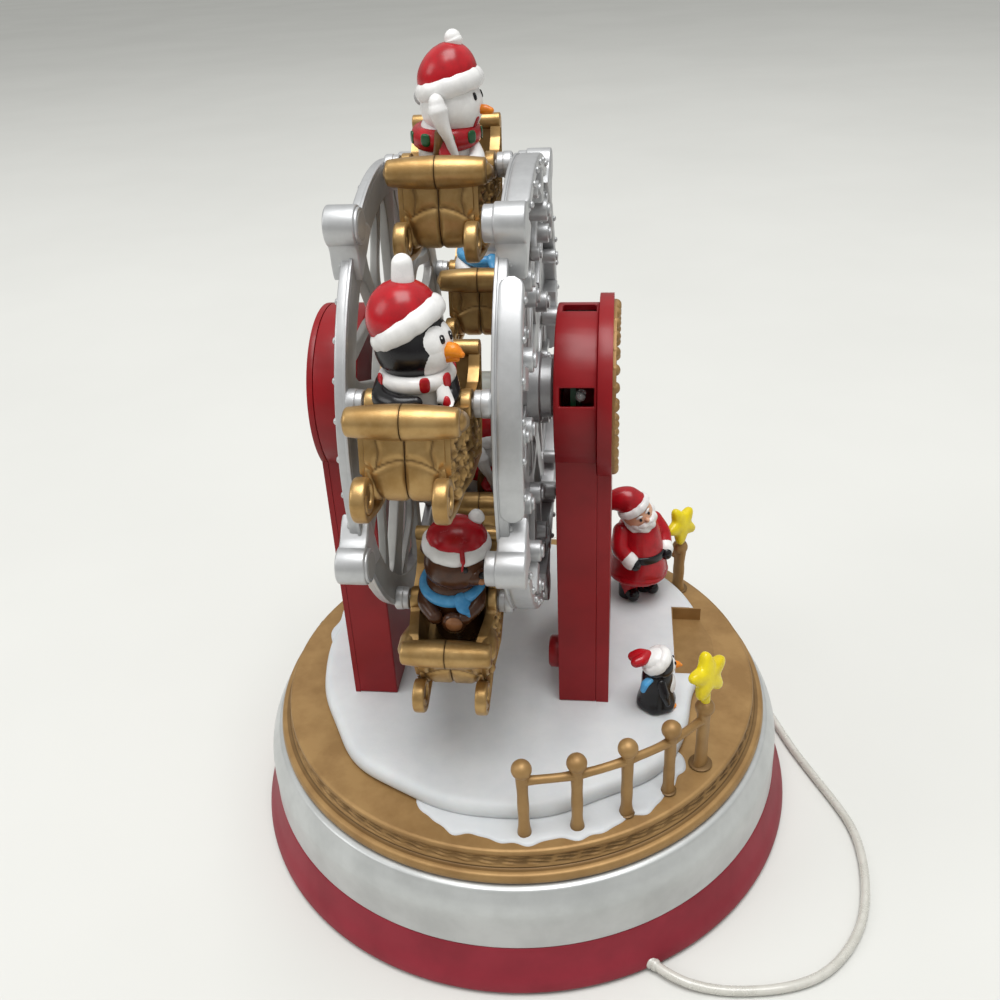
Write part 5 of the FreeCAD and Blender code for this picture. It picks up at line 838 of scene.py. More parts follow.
def make_bear(number, fur, muzzle):
    """Bear that leans back from the hips by its gondola's tilt, so it sits upright."""
    skin = Skin(gondola_place(number))
    add_body(skin, fur, top=2.0)
    back = spun("X", -TILTS[number])
    skin.place = chained(lambda points: points @ back, skin.place)
    skin.add(ball((0, 0, 6.5), (8.4, 8.4, 8.0), 26, 36), fur)
    head = (1.2, 0, 14.0)
    skin.add(ball(head, (9.4, 9.2, 8.7), 30, 44), fur)
    look = 56
    snout = facing(look, 7.4, 12.4, 1.2)
    skin.add(ball(snout, (3.7, 3.7, 3.0)), fur)
    skin.add(ball(snout + facing(look, 2.9, -0.5), (1.7, 1.7, 1.6)), muzzle)
    skin.add(ball(snout + facing(look, 3.4, 1.2), (1.3, 1.3, 1.0), 14, 18), BLACK)
    for eye in (-26, 24):
        skin.add(patch_on(head, 9.1, look + eye, 16.4, 0.7, 0.9, 0.3), BLACK)
    for side in (-1, 1):
        skin.add(ball((1.2 + side * 8.2, 1.2, 18.0), (2.4, 1.5, 2.5)), fur)
        arm = ((side * 7.2, -0.5, 5.4), (side * 7.6, -5.4, 3.0), (side * 4.4, -9.6, 0.8))
        skin.add(limb(arm, (2.7, 2.7, 2.4), 20, 20), fur)
    skin.add(ball((1.4, -10.6, -0.6), (3.7, 2.2, 3.6)), fur)
    skin.add(ball((1.6, -11.9, -0.2), (2.6, 1.2, 2.5)), muzzle)
    add_hat(skin, (1.9, 0.8, 20.4), 4, 9.2, 8.0, 2.5, 0.5, 0.6, (5.2, 3.2))
    drip = (facing(22, 8.2, 23.2, 1.9), facing(20, 10.0, 20.6, 1.9), facing(18, 9.9, 17.6, 1.9))
    skin.add(limb(drip, (0.7, 0.75, 0.5), 14, 14, (0, 0, 1), 0.5), RED)
    skin.add(scarf_ring(8.4, 1.8, 2.0, 7.2, 1.6), BLUE, loop=True)
    tail = (facing(24, 9.4, 6.2), facing(26, 10.8, 4.2), facing(30, 11.0, 2.4))
    skin.add(limb(tail, (2.4, 2.4, 1.7), 14, 18, (0, 0, 1), 0.5), BLUE)
    mould(f"bear_rider_{number + 1}", skin, f"gondola_{number + 1}", [f"rider_{number + 1}"])


make_penguin(0)
make_snowman(1)
make_bear(2, WHITE, GREY)
make_snowman(3)
make_bear(4, BROWN, TAN)


# Base rings, turned round Z; profiles are (height, radius)

UPRIGHT = (0, 0, 1)
CONTROL_LEVEL = 24.5
CONTROL_OPENINGS = ((128, (5, 3.95, 1.75)), (154, (5, 3.25, 3.25)))
POST_CIRCLE = 78.5


def on_circle(angle, height, radius=POST_CIRCLE):
    turn = math.radians(angle)
    return np.array((radius * math.cos(turn), radius * math.sin(turn), height))


def make_red_ring():
    """Flared ring: a convex outer line, then the spigot, the inner wall and the shelf of the bottom plate."""
    outer = through(((0.9, 98.7), (1.1, 99.5), (2.2, 99.95), (5, 99.2), (9, 97.5), (13, 96.1), (16.0, 95.1),
                     (16.55, 94.7)), 44)
    inner = ((16.6, 92.2), (19.4, 92.2), (19.6, 91.9), (19.6, 90.2), (14.6, 90.2), (14.6, 92.4), (8, 94.8), (6, 95.9),
             (6, 92), (4.2, 92), (4.2, 96.9), (0.8, 97.4))
    skin = Skin().add(turned(np.vstack([outer, inner]), axis=UPRIGHT, cols=240), "raspberry_abs", loop=True)
    mould("flared_red_ring", skin, "base", ["lower_shell"])


def cut_out(piece, boxes):
    """Takes turned boxes (middle, half sizes, angle about Z) away from a piece for good."""
    for middle, half, angle in boxes:
        mesh = bpy.data.meshes.new("opening")
        corners = np.array([(x, y, z) for z in (-1, 1) for x, y in ((-1, -1), (1, -1), (1, 1), (-1, 1))]) * half
        faces = [(3, 2, 1, 0), (4, 5, 6, 7), (0, 1, 5, 4), (1, 2, 6, 5), (2, 3, 7, 6), (3, 0, 4, 7)]
        mesh.from_pydata(((corners @ spun("Z", angle) + middle) * MM).tolist(), [], faces)
        tool = linked("opening", mesh)
        step = piece.modifiers.new("opening", "BOOLEAN")
        step.object, step.operation, step.solver = tool, "DIFFERENCE", "EXACT"
        result = bpy.data.meshes.new_from_object(piece.evaluated_get(bpy.context.evaluated_depsgraph_get()))
        piece.modifiers.clear()
        piece.data = result
        bpy.data.objects.remove(tool)


def make_silver_band():
    """Lacquered band: straight, then rounded in to the gold lip, with openings for the slider and the knob's stem."""
    outer = through(((16.7, 94.5), (17.0, 94.85), (18, 94.85), (22, 94.65), (29, 94.5), (31.8, 94.1), (34.4, 93.1),
                     (36.8, 91.8), (38.4, 90.9), (38.9, 90.2)), 60)
    inner = ((39, 88.2), (37, 88.2), (37, 85.6), (35, 85.6), (35, 88.2), (29, 92.3), (16.7, 92.3))
    skin = Skin().add(turned(np.vstack([outer, inner]), axis=UPRIGHT, cols=240), "pearl_lacquer", loop=True)
    band = mould("lacquered_band", skin, "base", ["silver_band"])
    cut_out(band, [(on_circle(angle, CONTROL_LEVEL, 93), half, angle) for angle, half in CONTROL_OPENINGS])


def make_deck():
    """Gold deck over two beads; the hollow between them carries cast leaves: sums of waves round and up."""
    line = through((
        (49.3, 83.6), (49.25, 84.3), (48.9, 85.0), (48.2, 85.2), (47.4, 85.1), (46.9, 84.75), (46.5, 84.6),
        (45.6, 84.7), (44.6, 85.1), (43.9, 85.6), (43.45, 86.0), (43.15, 86.0), (43.0, 86.5), (43.02, 87.6),
        (42.8, 88.5), (42.2, 89.0), (41.4, 89.25), (40.6, 89.28), (39.95, 89.1), (39.62, 88.7)), 96)
    rest = ((39.6, 88.1), (37, 88.1), (37, 86.1), (43, 82.3), (46.9, 82.3), (46.9, 0.1))
    profile = np.vstack([(49.3, 0.1), (49.3, 60), (49.3, 82), line, rest])
    grid = turned(profile, axis=UPRIGHT, cols=640)
    turn = np.arctan2(grid[..., 1], grid[..., 0])
    height = profile[:, :1]
    leaf = np.sin(46 * turn + 2.4 * height) * np.sin(31 * turn - 3.1 * height) + 0.5 * np.sin(83 * turn + 5 * height)
    cove = np.clip((height - 43.7) / 0.6, 0, 1) * np.clip((47.0 - height) / 0.5, 0, 1) * (profile[:, 1:] > 84)
    grid[..., :2] *= 1 + (0.32 * np.clip(leaf, -0.4, 1) * cove / profile[:, 1:])[..., None]
    # The cove is darkened in patches round the ring, most in the lows between the leaves, and the gutter below it is
    # dark: painted shade in the lows and the gutter.
    patch = 0.5 + 0.5 * np.sin(5 * turn + 1.0) * np.sin(3 * turn)
    gutter = np.exp(-((height - 43.25) / 0.32) ** 2) * (profile[:, 1:] < 87.2)
    wash = np.clip(cove * (0.25 + 0.75 * (leaf < 0.05)) * (0.35 + 0.65 * patch) + gutter, 0, 1)
    skin = Skin().add(grid, DECK_GOLD, wash=wash)
    mould("gold_deck", skin, "base", ["stage_ring"])


make_red_ring()
make_silver_band()
make_deck()


# Snow

SNOW_TOP, DECK_TOP = 55.3, 49.3
NICHE_WALL, NICHE_FRONT, NICHE_BACK, LINING = 57, -9, 29.5, 0.5
SNOW_ROOT = 68.0
# Share of the edge's radius, distance in from the edge, and height over the plateau's top
SNOW_SECTION = ((0.02, 0, 0), (0.3, 0, 0), (0.6, 0, 0), (0.85, 0, 0), (1, 4.2, 0), (1, 3.0, -0.12), (1, 2.0, -0.4),
                (1, 1.2, -0.95), (1, 0.6, -1.75), (1, 0.25, -2.7), (1, 0.1, -3.8), (1, 0.2, -4.7), (1, 0.7, -5.4),
                (1, 1.1, -5.9), (1, 1.2, -6), (0.02, 0, -6))


def snow_edge(degrees):
    """Radius of the plateau's uneven edge."""
    turn = np.radians(degrees)
    wave = 0.9 * np.sin(3 * turn + 0.6) + 0.6 * np.sin(8 * turn + 1.1) + 0.4 * np.sin(13 * turn)
    return 73 + wave + 3.4 * np.exp(-((degrees - 62) / 26) ** 2) - 7.5 * np.exp(-((degrees + 14) / 17) ** 2)


def add_drift(skin, start, end, reach, ragged):
    """Snow patch on the deck: thin at a torn outer edge, whose reach wavers with the angle."""
    degrees = np.linspace(start, end, 150)
    share = (degrees - start) / (end - start)
    swell = np.sin(math.pi * share) ** 0.35
    tear = sum(size * np.sin(rate * np.radians(degrees) + rate) for rate, size in ragged)
    outer = 69 + (reach - 69) * swell + tear * np.minimum(1, 4 * np.sin(math.pi * share))
    outer = np.maximum(outer, SNOW_ROOT + 1.6)
    turn = np.radians(degrees)
    section = []
    for inset, height in ((0.0, 0.02), (0.25, 0.42), (1.1, 0.72), (3.2, 0.86), (None, 0.9), (None, 0.02)):
        radius = np.full(len(turn), SNOW_ROOT) if inset is None else np.maximum(outer - inset, SNOW_ROOT + 0.4)
        level = np.full(len(turn), DECK_TOP + height)
        section.append(np.column_stack([radius * np.cos(turn), radius * np.sin(turn), level]))
    skin.add(np.stack(section, 1), SNOW, "flat")


def make_snow():
    """Plateau with a rounded brow, a painted shadow marked along its foot and drifts beyond it; a gold lined niche is
    cut in.
    """
    degrees = np.linspace(-180, 180, 300, endpoint=False)
    edge = snow_edge(degrees)
    turn = np.radians(degrees)
    rows, washes_and_shades = [], []
    for share, inset, height in SNOW_SECTION:
        radius = (edge - inset) * share
        ripple = 0.12 * np.sin(7 * turn) * np.sin(share * 3) * (height == 0)
        rows.append(np.column_stack([radius * np.cos(turn), radius * np.sin(turn), SNOW_TOP + height + ripple]))
        # The foot's rows carry a painted shadow in wash, but the snow's finish has no darker colour, so they look
        # like the rest of the snow.
        washes_and_shades.append(np.full(len(turn), 0.85 * (height < -5.3)))
    skin = Skin().add(np.array(rows), SNOW, wash=np.array(washes_and_shades))
    plateau = mould("snow_plateau", skin, "base", ["snow_stage"])
    middle, half = (NICHE_FRONT + NICHE_BACK) / 2, (NICHE_BACK - NICHE_FRONT) / 2
    cut_out(plateau, [((NICHE_WALL + 15, middle, 53), (15, half, 3.69), 0)])
    drifts = Skin()
    add_drift(drifts, -112, -36, 82.4, ((23, 0.8), (41, 0.5), (67, 0.3)))
    add_drift(drifts, 140, 176, 79.5, ((19, 0.7), (37, 0.5)))
    add_drift(drifts, 40, 82, 81, ((21, 0.6), (47, 0.4)))
    mould("snow_drifts", drifts, "base", ["snow_stage"])
    # Walls and floor of the niche are evenly darkened a little: painted shade.
    liner = Skin()
    for x, y, end_x, end_y in ((NICHE_WALL, NICHE_FRONT, NICHE_WALL + LINING, NICHE_BACK),
                               (NICHE_WALL, NICHE_BACK - LINING, 68.4, NICHE_BACK),
                               (NICHE_WALL, NICHE_FRONT, 64.5, NICHE_FRONT + LINING)):
        liner.add(plate(((x, y), (end_x, y), (end_x, end_y), (x, end_y)), DECK_TOP, 55.1, 0.1, axis=2), DECK_GOLD,
                  "flat", wash=0.12)
    floor = ((NICHE_WALL, NICHE_FRONT), (67, NICHE_FRONT), (70.4, 0), (72.4, 9), (72, 18), (69.5, 25),
             (68.2, NICHE_BACK), (NICHE_WALL, NICHE_BACK))
    liner.add(plate(floor, DECK_TOP, 49.6, 0.1, axis=2), DECK_GOLD, "flat", wash=0.12)
    mould("niche_liner", liner, "base", ())


make_snow()


# Wheels: u runs outwards from each wheel's inner face, to +X at the front and to -X at the rear

AXLE = np.array((0, 0, AXLE_Z))
RIM, STUDS = 69.06, 42
BAND_CIRCLE, BAND_SWING = 66.93, 26.4
# Bosses on the front wheel's outer face: radius, angle from the pivot, size and height
BOSSES = ((51, 37, 3.0, 4.2), (53, 11, 3.2, 5.6), (62, -8, 2.5, 4.6), (33.5, -17, 3.4, 3.6), (61, -40, 2.2, 3.2),
          (41, 24, 2.2, 2.4))
FRONT_FACE, REAR_FACE = 4.5, -31.5


def hoop(low, high, inner, outer, edge=0.4):
    """Closed profile of a flat ring with quarter circles at its four rims."""
    swing = np.radians([0, 30, 60, 90])
    rows = []
    for first, along, reach in ((0, high - edge, outer - edge), (90, low + edge, outer - edge),
                                (180, low + edge, inner + edge), (270, high - edge, inner + edge)):
        angle = swing + math.radians(first)
        rows.append(np.column_stack([along + edge * np.cos(angle), reach + edge * np.sin(angle)]))
    return np.vstack(rows)


def bar(angle, stations, count=24):
    """Outline in the wheel's plane of a bar at that angle, from stations of (radius, half width, sideways bend)."""
    turn = math.radians(angle)
    out = np.array((-math.cos(turn), math.sin(turn)))
    aside = np.array((math.sin(turn), math.cos(turn)))
    radius, half, bend = through(stations, count).T[:, :, None]
    spine = radius * out + bend * aside + (0, AXLE_Z)
    return np.vstack([spine + half * aside, (spine - half * aside)[::-1]])


def spot(radius, angle, u=0.0):
    y, z = across(radius, angle)
    return np.array((u, y, z))


def add_arms(skin, pivot, web, finish_name):
    """Spokes of one fifth of a wheel, flared into hub and rim, and the bent scroll bars between them."""
    wide = ((9, 5.6, 0), (13, 4.5, 0), (24, 4.2, 0), (44, 4.2, 0), (54, 4.6, 0), (58.5, 6.0, 0), (62, 9.5, 0))
    thin = ((9, 3.6, 0), (13, 2.6, 0), (26, 2.4, 0), (48, 2.4, 0), (55, 2.9, 0), (59, 4.6, 0), (62, 7.5, 0))
    skin.add(plate(bar(pivot, wide), 0.1, web - 0.1, 0.45), finish_name, "flat")
    skin.add(plate(bar(pivot + 36, thin), 0.15, web - 0.15, 0.4), finish_name, "flat")
    for hand in (-1, 1):
        scroll = ((31, 2.6, 3.5 * hand), (38, 2.1, 6.8 * hand), (45, 2.0, 5.5 * hand), (52, 2.2, -1.0 * hand),
                  (57, 2.6, -5.5 * hand), (62, 3.4, -8.5 * hand))
        skin.add(plate(bar(pivot + 18 * hand, scroll), 0.5, web - 0.5, 0.5), finish_name, "flat")


def add_lug(skin, angle, low, high):
    """Ear beyond the rim: a flared root, a drum across it and a smaller disc towards the other wheel."""
    root = ((63.5, 8.5, 0), (66.5, 7.4, 0), (69.3, 5.6, 0), (71.5, 4.9, 0), (74, 4.9, 0))
    skin.add(plate(bar(angle, root, 7), low + 0.15, high - 0.15, 0.6), SILVER, "flat")
    at = spot(73.8, angle)
    skin.add(turned(drum(low, high, 5.2, 0.55), at, cols=40), SILVER)
    skin.add(turned(drum(-2.7, 0.2, 4.6, 0.4), at, cols=40), SILVER)
    # The small disc towards the other wheel takes the darker silver copy: painted shade.
    skin.add(turned(drum(-2.8, -2.5, 3.7, 0.1), at, cols=32), SHADED_SILVER)


def add_band(skin, pivot):
    """Raised stretch of the front rim: a rounded strip whose two ends are quarter round."""
    swing = np.linspace(-BAND_SWING, BAND_SWING, 72)
    turn = np.radians(pivot + swing)
    path = np.column_stack([np.full(72, 4.35), -BAND_CIRCLE * np.cos(turn), AXLE_Z + BAND_CIRCLE * np.sin(turn)])
    left = np.clip((BAND_SWING - np.abs(swing)) * math.radians(1) * BAND_CIRCLE / 2.6, 0, 1)
    high = 3.2 - 2.2 * (1 - np.sqrt(1 - (1 - left) ** 2))
    skin.add(carried(path, 2.08, high, (1, 0, 0), 32, 7.0), SILVER)


def add_relief(skin, pivot, web):
    """Cast bosses, a box and ribs on the outer face, the same in every fifth."""
    for radius, angle, size, tall in BOSSES:
        at = spot(radius, pivot + angle)
        skin.add(turned(drum(web - 0.4, web + tall, size, 0.35), at, cols=32), SILVER)
        skin.add(turned(drum(web + tall - 0.2, web + tall + 0.8, size * 0.62, 0.3), at, cols=24), SILVER)
    skin.add(plate(bar(pivot + 5.5, ((55.5, 3.0, 0), (60, 3.0, 0), (64.5, 3.0, 0)), 6), web - 0.3, web + 4.6, 0.4),
             SILVER, "flat")
    for angle, low, high in ((24, 42, 63), (-27, 36, 63), (48, 36, 60)):
        rib = bar(pivot + angle, ((low, 1.2, 0), (50, 1.2, 1.2), (high, 1.2, 0)))
        skin.add(plate(rib, web - 0.6, web + 1.3, 0.35), SILVER, "flat")


def make_wheel(name, node, face, side, web, hub, lug):
    """One side of the wheel: rim, hub ring and hub, five equal parts, and the studs round the rim."""

    def lay(grid):
        return grid * (side, 1, 1) + (face, 0, 0)

    front = side > 0
    # The rear wheel's inner face takes the darker silver copy: painted shade.
    inner_finish = SILVER if front else SHADED_SILVER
    skin = Skin(lay)
    skin.add(turned(hoop(0.0, 0.95, 64, RIM, 0.25), AXLE, cols=200), SILVER, loop=True)
    skin.add(turned(hoop(0.1, web, 59.56, RIM - 0.45, 0.5), AXLE, cols=200), SILVER, loop=True)
    skin.add(turned(hoop(-0.05, 0.6, 59.8, 67.6, 0.2), AXLE, cols=200), inner_finish, loop=True)
    skin.add(turned(hoop(0.05, web - 0.05, 28, 33, 0.45), AXLE, cols=120), inner_finish, loop=True)
    step = hub * 0.62
    hub_line = ((0.0, 0.5), (0.0, 10.4), (0.5, 11), (step, 11), (step + 0.5, 10.5), (step + 0.5, 9.3),
                (hub - 0.5, 9.2), (hub, 8.7), (hub, 0.5))
    skin.add(turned(hub_line, AXLE, cols=64), inner_finish)
    for number in range(5):
        pivot = FIRST_PIVOT + FIFTH * number
        add_arms(skin, pivot, web, inner_finish)
        boss = spot(PIVOT_CIRCLE, pivot)
        skin.add(turned(drum(-4.2, 0.2, 3.4, 0.35), boss, cols=36), SILVER)
        skin.add(turned(drum(-2.4, -0.1, 3.62, 0.3), boss, cols=36), SILVER)
        add_lug(skin, pivot + 36, *lug)
        if front:
            add_band(skin, pivot)
            add_relief(skin, pivot, web)
    for number in range(STUDS):
        angle = 360 * number / STUDS
        off = (angle - FIRST_PIVOT + 36) % FIFTH - 36
        if abs(abs(off) - 36) > 4.6:
            level = 7.75 if front and abs(off) < 26 else web + 0.15
            skin.add(ball(spot(66.9, angle, level), (0.75, 0.95, 0.95), 8, 12), SILVER)
    mould(name, skin, "wheel", [node])


make_wheel("front_casting", "front_wheel", FRONT_FACE, 1, 3.4, 10.7, (0.0, 8.0))
make_wheel("rear_casting", "rear_wheel", REAR_FACE, -1, 3.2, 7.8, (-2.0, 6.0))


# Fences and stars

FRONT_POSTS = [(-83.3 + 11.9 * k, 77 + drop) for k, drop in enumerate((0, 0, 0, -1.2, -2.8))]
BACK_POSTS = [(39.4, 70), (52.4, 70)]


def make_fence(name, node, posts, starred):
    """Posts that widen at head and foot, each under its ball, and one wavering rail through them."""
    skin = Skin()
    for index, (angle, top) in enumerate(posts):
        wide = 1.45 if index == starred else 1.0
        foot = on_circle(angle, DECK_TOP)
        share = np.linspace(0, 1, 18)
        path = foot + share[:, None] * (0, 0, top - DECK_TOP - 0.5)
        radius = 1.75 + 0.5 * np.exp(-(share / 0.09) ** 2) + 0.35 * np.exp(-((share - 1) / 0.14) ** 2)
        radius = radius + 0.06 * np.sin(share * 17 + index)
        flat = (math.cos(math.radians(angle)), math.sin(math.radians(angle)), 0)
        # The post's foot and the disc under it are darkened: painted shadow where the post meets the deck.
        skin.add(carried(path, radius * wide, radius * 0.94, flat, 24, 2.3), DECK_GOLD, "flat",
                 wash=(np.exp(-(share / 0.05) ** 2) * 0.8)[:, None])
        skin.add(ball(on_circle(angle, top), (3.1, 3.1, 3.0), 22, 30), DECK_GOLD)
        skin.add(ball(foot + (0, 0, 0.5), (2.7 * wide, 2.7 * wide, 0.55), 10, 24), DECK_GOLD, wash=0.75)
    stops = [on_circle(angle, top - 4.8) for angle, top in posts]
    rail = through(stops, 14 * len(posts)) if len(posts) > 2 else np.linspace(*stops, 16)
    place = np.linspace(0, len(posts) - 1, len(rail))
    swell = 1.35 + 0.25 * np.exp(-((place - np.round(place)) / 0.16) ** 2)
    skin.add(carried(rail, swell, swell, (0, 0, 1), 22), DECK_GOLD)
    mould(name, skin, "base", [node])


STAR_TIP, STAR_WAIST, STAR_FACING, STAR_BACK = 9.5, 4.7, -43, 12


def make_stars():
    """Puffed five pointed stars: reach between tip and waist, thickness falling as a half oval towards the edge."""
    skin = Skin()
    for (angle, top), spin, rise in ((FRONT_POSTS[-1], 0, 13.2), (BACK_POSTS[0], 20, 10.4)):
        around = np.linspace(0, TAU, 100, endpoint=False)
        tip = np.abs(((around - math.radians(90 + spin)) / (TAU / 5) + 0.5) % 1 - 0.5) * 2
        reach = 1 / ((1 - tip) / STAR_TIP + tip / STAR_WAIST)
        reach = np.convolve(np.concatenate([reach[-3:], reach, reach[:3]]), np.ones(7) / 7, "valid")
        down = np.linspace(math.radians(4), math.pi - math.radians(4), 26)[:, None]
        out = np.sin(down) ** 0.75 * reach
        thick = 2.3 * np.sign(np.cos(down)) * np.abs(np.cos(down)) ** 0.7 * (1 + 0 * reach)
        grid = np.stack([thick, out * np.cos(around), out * np.sin(around)], -1)
        grid = grid @ spun("Y", -STAR_BACK) @ spun("Z", STAR_FACING)
        foot = on_circle(angle, top)
        skin.add(grid + foot + (0, 0, rise), YELLOW, wash=np.exp(-((out - reach) / 0.5) ** 2) * 0.1)
        skin.add(limb((foot + (0, 0, 2.6), foot + (0, 0, rise - 3)), (1.5, 1.3), 10, 16, (0, 1, 0)), YELLOW)
    mould("yellow_stars", skin, "base", ["fence_stars"])


make_fence("front_rail", "front_fence", FRONT_POSTS, 4)
make_fence("back_rail", "back_fence", BACK_POSTS, 0)
make_stars()


# Figures on the stage, in frames that look along +X

def standing(radius, azimuth, turn, size):
    """Scales a figure's own frame, turns it and sets it on its spot on the snow."""
    at = on_circle(azimuth, SNOW_TOP, radius)
    spin = spun("Z", turn)
    return lambda points: at + points * size @ spin


def make_santa():
    """Coat with a flared, folded skirt, belt, boots, curled beard and a hat that hangs to one side."""
    skin = Skin(standing(58.4, 41.6, -55, (0.94, 0.92, 1.02)))
    coat = through(((11.2, 11.4), (12.8, 12.3), (15, 12.0), (18, 11.1), (21, 10.5), (24, 10.2), (28, 9.4),
                    (32, 8.0), (35, 5.6)), 40)
    grid = turned(coat, axis=UPRIGHT, cols=72)
    around = np.arctan2(grid[..., 1], grid[..., 0])
    fold = 1 + 0.03 * np.sin(7 * around) * np.clip((18 - coat[:, :1]) / 8, 0, 1)
    grid[..., :2] *= fold[..., None]
    grid[..., 0] += 0.8 * np.exp(-((coat[:, :1] - 19) / 7) ** 2) * np.cos(around).clip(0)
    skin.add(grid, RED)
    skin.add(fur_band(11.3, 1.6, 1.9, 15) + (0, 0, 12.0), RED, loop=True)
    belt = turned(hoop(19.6, 22.8, 9.4, 11.3, 0.5), axis=UPRIGHT, cols=64) + (0.4, 0, 0)
    skin.add(belt, BLACK, loop=True)
    for side in (-1, 1):
        y = 4.4 * side
        skin.add(limb(((0, y, 12), (0, y, 7), (0.4, y, 3.6)), (4.3, 4.0, 3.6), 16, 24), RED)
        boot = ((-0.6, y, 3.0), (2.4, y * 1.05, 2.9), (4.6, y * 1.15, 2.7))
        skin.add(limb(boot, (2.95, 2.9, 2.5), 16, 24, (0, 0, 1)), BLACK)
        skin.add(turned(drum(0.05, 9.6, 3.9, 0.6), (-0.4, y, 0), UPRIGHT, 32), BLACK)
        arm = ((-0.5, 8.2 * side, 30.5), (2.2, 10.6 * side, 25.4), (6.4, 9.0 * side, 21.6))
        cuff = ((6.2, 9.1 * side, 21.9), (7.2, 8.8 * side, 21.2))
        skin.add(limb(arm, (3.7, 3.6, 3.0), 20, 24, (0, 0, 1)), RED)
        skin.add(limb(cuff, (3.35, 3.35), 8, 22, (0, 0, 1)), WHITE)
        skin.add(ball((8.8, 7.9 * side, 20.4), (2.7, 2.5, 2.6), 18, 24), BLACK)
    neck, roll = np.array((1.0, 0, 34.0)), spun("X", 27)
    skin.place = chained(lambda points: (points - neck) @ roll + neck, skin.place)
    head = np.array((1.4, 0, 38.3))
    skin.add(ball(head, (6.5, 6.3, 6.6), 26, 36), SKIN_TONE)
    beard = through(((29.2, 0.6), (30.2, 3.4), (32, 5.0), (34.5, 6.0), (37, 6.3), (39.2, 5.6), (40.4, 4.2)), 30)
    grid = turned(beard, axis=UPRIGHT, cols=64)
    around = np.arctan2(grid[..., 1], grid[..., 0])
    grid[..., :2] *= (1 + 0.05 * np.sin(9 * around + beard[:, :1] * 0.9))[..., None]
    grid = grid * (1.0, 1.08, 1) + (2.6, 0, 0)
    grid[..., 0] -= np.clip(grid[..., 2] - 36, 0, 5) * 0.75
    # The grooves between the curls are darkened: painted shade.
    skin.add(grid, WHITE, wash=0.25 * (np.sin(9 * around + beard[:, :1] * 0.9) < -0.6))
    for side in (-1, 1):
        whisker = ((8.2, 0.2 * side, 37.3), (8.0, 1.9 * side, 36.9), (7.0, 3.7 * side, 37.2))
        brow = ((7.5, 1.1 * side, 41.0), (7.3, 2.2 * side, 41.3), (6.7, 3.2 * side, 41.0))
        skin.add(limb(whisker, (0.9, 1.15, 0.5), 12, 16), WHITE)
        skin.add(ball((7.35, 2.1 * side, 39.7), (0.5, 0.62, 0.75), 10, 14), BLACK)
        skin.add(limb(brow, (0.35, 0.5, 0.3), 10, 12), WHITE)
    skin.add(ball((8.35, 0, 38.6), (1.15, 1.0, 0.95), 14, 18), SKIN_TONE)
    cap = ((0.4, 0, 41.6), (-1.0, -1.0, 44.4), (-2.8, -3.6, 46.4), (-4.6, -6.8, 46.4), (-5.6, -9.4, 44.0))
    skin.add(limb(cap, (6.4, 5.9, 4.6, 3.2, 2.0), 30, 32, (0, 1, 0)), RED)
    skin.add(fur_band(5.4, 1.75, 1.75, 11), WHITE, loop=True,
             place=chained(leaning((0.9, 0, 42.0), -14), skin.place))
    skin.add(ball((-5.9, -10.2, 42.2), 2.5, 18, 24, 2.2), WHITE)
    mould("santa_statue", skin, "base", ["santa_figure"])


def make_little_penguin():
    """Black coat flared at its foot, white front, blue scarf end, and a cap that leans back under two red tips."""
    skin = Skin(standing(55.6, -26.4, 12, 0.93))
    coat = through(((0.05, 5.6), (0.7, 6.9), (2.4, 7.2), (5, 6.4), (9, 5.7), (13, 5.6), (15.6, 5.2), (17.2, 4.4)), 34)
    grid = turned(coat, axis=UPRIGHT, cols=56)
    around = np.arctan2(grid[..., 1], grid[..., 0])
    grid[..., :2] *= (1 + 0.035 * np.sin(6 * around + 0.6) * np.clip((5 - coat[:, :1]) / 4, 0, 1))[..., None]
    skin.add(grid, BLACK)
    skin.add(ball((1.7, 0, 9.2), (5.2, 4.5, 6.6), 24, 32), WHITE)
    skin.add(ball((0.2, 0, 18.6), (5.7, 5.7, 5.4), 26, 36), BLACK)
    skin.add(ball((2.0, 0, 18.2), (4.6, 4.3, 4.2), 22, 30), WHITE)
    skin.add(limb(((5.6, 0, 17.8), (7.2, 0, 17.7), (8.5, 0, 17.2)), (1.6, 1.3, 0.6), 12, 18), ORANGE)
    for side in (-1, 1):
        skin.add(ball((5.9, 1.7 * side, 19.8), (0.45, 0.55, 0.75), 10, 14), BLACK)
        wing = ((0.2, 4.9 * side, 14.2), (1.2, 6.8 * side, 9.8), (2.2, 7.2 * side, 6.0))
        skin.add(limb(wing, (1.6, 1.8, 1.1), 18, 20, (0, 0, 1)), BLACK)
        skin.add(ball((3.4, 2.7 * side, 0.8), (3.6, 2.3, 0.85), 14, 22), ORANGE)
    skin.add(scarf_ring(4.6, 0.8, 0.9, 14.3, 0.2), BLUE, loop=True)
    tail = ((-3.4, -3.4, 15.0), (-5.4, -4.2, 13.6), (-6.2, -4.6, 11.6))
    skin.add(limb(tail, (1.5, 1.7, 1.3), 14, 18, (0, 0, 1), 0.6), BLUE)
    set_on = chained(leaning((-0.6, 0, 20.6), -40), skin.place)
    skin.add(fur_band(4.2, 1.9, 2.3, 7), WHITE, loop=True, place=set_on)
    skin.add(dome(4.6, 5.0, sway=-1.6), WHITE, place=set_on)
    for tip in ((-4.8, -2.3, 6.6), (-5.4, 2.0, 6.0)):
        horn = ((-1.2, 0, 4.2), (-3.0, tip[1] * 0.7, 5.4), tip)
        skin.add(limb(horn, (2.3, 2.2, 1.9), 14, 18, (0, 1, 0)), RED, place=set_on)
    mould("small_penguin", skin, "base", ["little_penguin"])


make_santa()
make_little_penguin()


# Towers and front plate keep their CAD shapes; their edges are eased

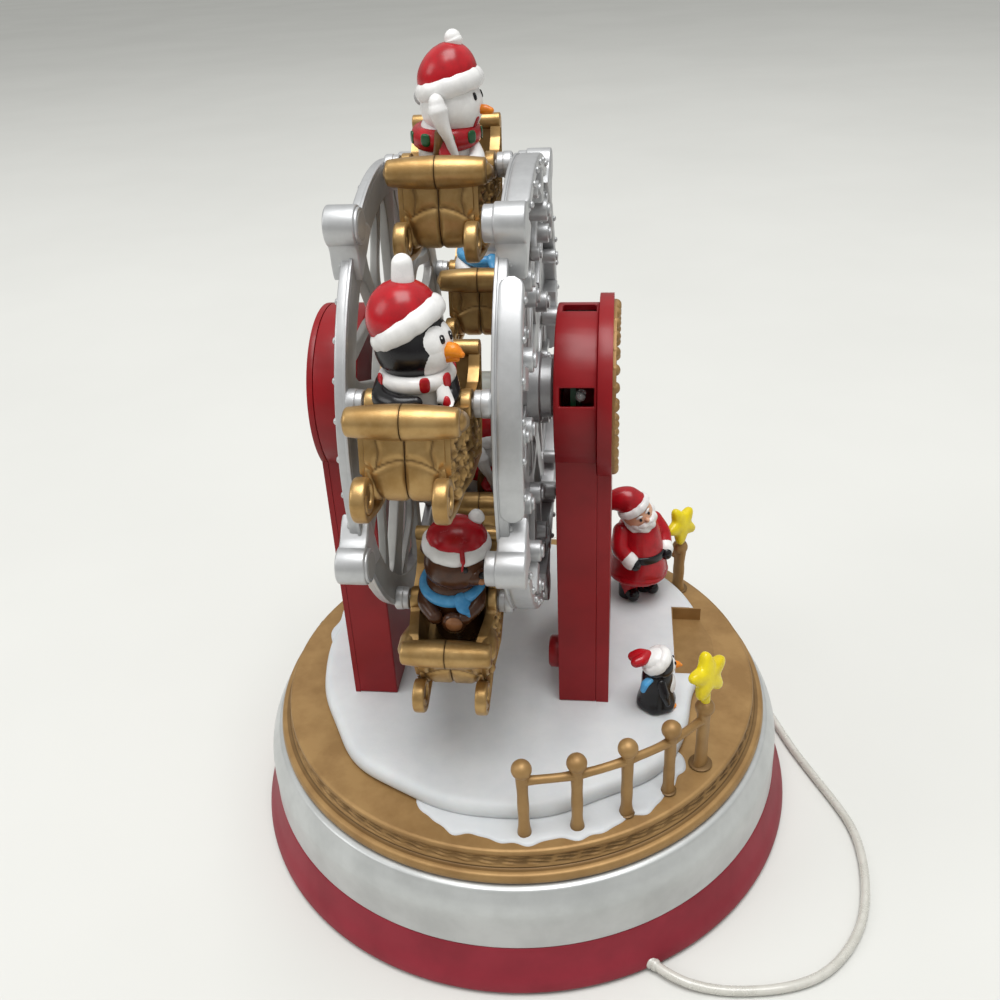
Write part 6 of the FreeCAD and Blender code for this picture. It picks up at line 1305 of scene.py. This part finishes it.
def ease(width, *names):
    """Rounds a CAD node's sharp edges to that width in mm."""
    for name in names:
        node = NODES[name]
        weld = node.modifiers.new("weld", "WELD")
        weld.merge_threshold = 1e-6
        round_off = node.modifiers.new("ease", "BEVEL")
        round_off.width, round_off.segments = width * MM, 3
        round_off.limit_method, round_off.angle_limit = "ANGLE", math.radians(50)
        round_off.harden_normals = True


ease(0.6, "front_tower", "rear_tower", "front_plate", "rear_cover", "boss_cap")


# Floor and lights

FLOOR_REACH = 9.0
LIT_MIDDLE = Vector((0, 0, 0.12))
SKY_STOPS = ((0.25, "#8c8985"), (0.7, "#f3f4f2"))
# Square lamps: place and side in metres, power in watts
LAMPS = (("sky_panel", (0.1, -0.3, 2.4), 1.5, 52), ("left_panel", (-2.2, -0.8, 1.6), 1.2, 14))


def make_stage():
    """A plain pale floor, and soft light from above and the sides."""
    mesh = bpy.data.meshes.new("floor")
    corners = ((-1, -1), (1, -1), (1, 1), (-1, 1))
    mesh.from_pydata([(x * FLOOR_REACH, y * FLOOR_REACH, 0) for x, y in corners], [], [(0, 1, 2, 3)])
    # Painted board: pale warm grey and fully matt.
    mesh.materials.append(finish("floor_paint", ("#cfcfcb", "#cbcbc7"), 400, 6, 0.02, (0.8, 0.9)))
    linked("floor", mesh)
    world = bpy.data.worlds.new("studio")
    world.use_nodes = True
    sky = world.node_tree
    way = add(sky, "ShaderNodeTexCoord", {})
    height = add(sky, "ShaderNodeSeparateXYZ", {}, {0: (way, "Generated")})
    level = add(sky, "ShaderNodeMapRange", {"From Min": -0.4, "From Max": 1.0}, {"Value": (height, "Z")})
    tone = add(sky, "ShaderNodeValToRGB", {"stops": SKY_STOPS}, {"Fac": (level, "Result")})
    sky.links.new(tone.outputs["Color"], sky.nodes["Background"].inputs["Color"])
    sky.nodes["Background"].inputs["Strength"].default_value = 0.72
    bpy.context.scene.world = world
    for name, at, size, power in LAMPS:
        data = bpy.data.lights.new(name, "AREA")
        data.shape, data.size, data.energy = "SQUARE", size, power
        light = linked(name, data)
        light.location = at
        light.rotation_euler = (Vector(at) - LIT_MIDDLE).to_track_quat("Z", "Y").to_euler()
    bpy.context.scene.view_settings.view_transform = "Standard"


make_stage()
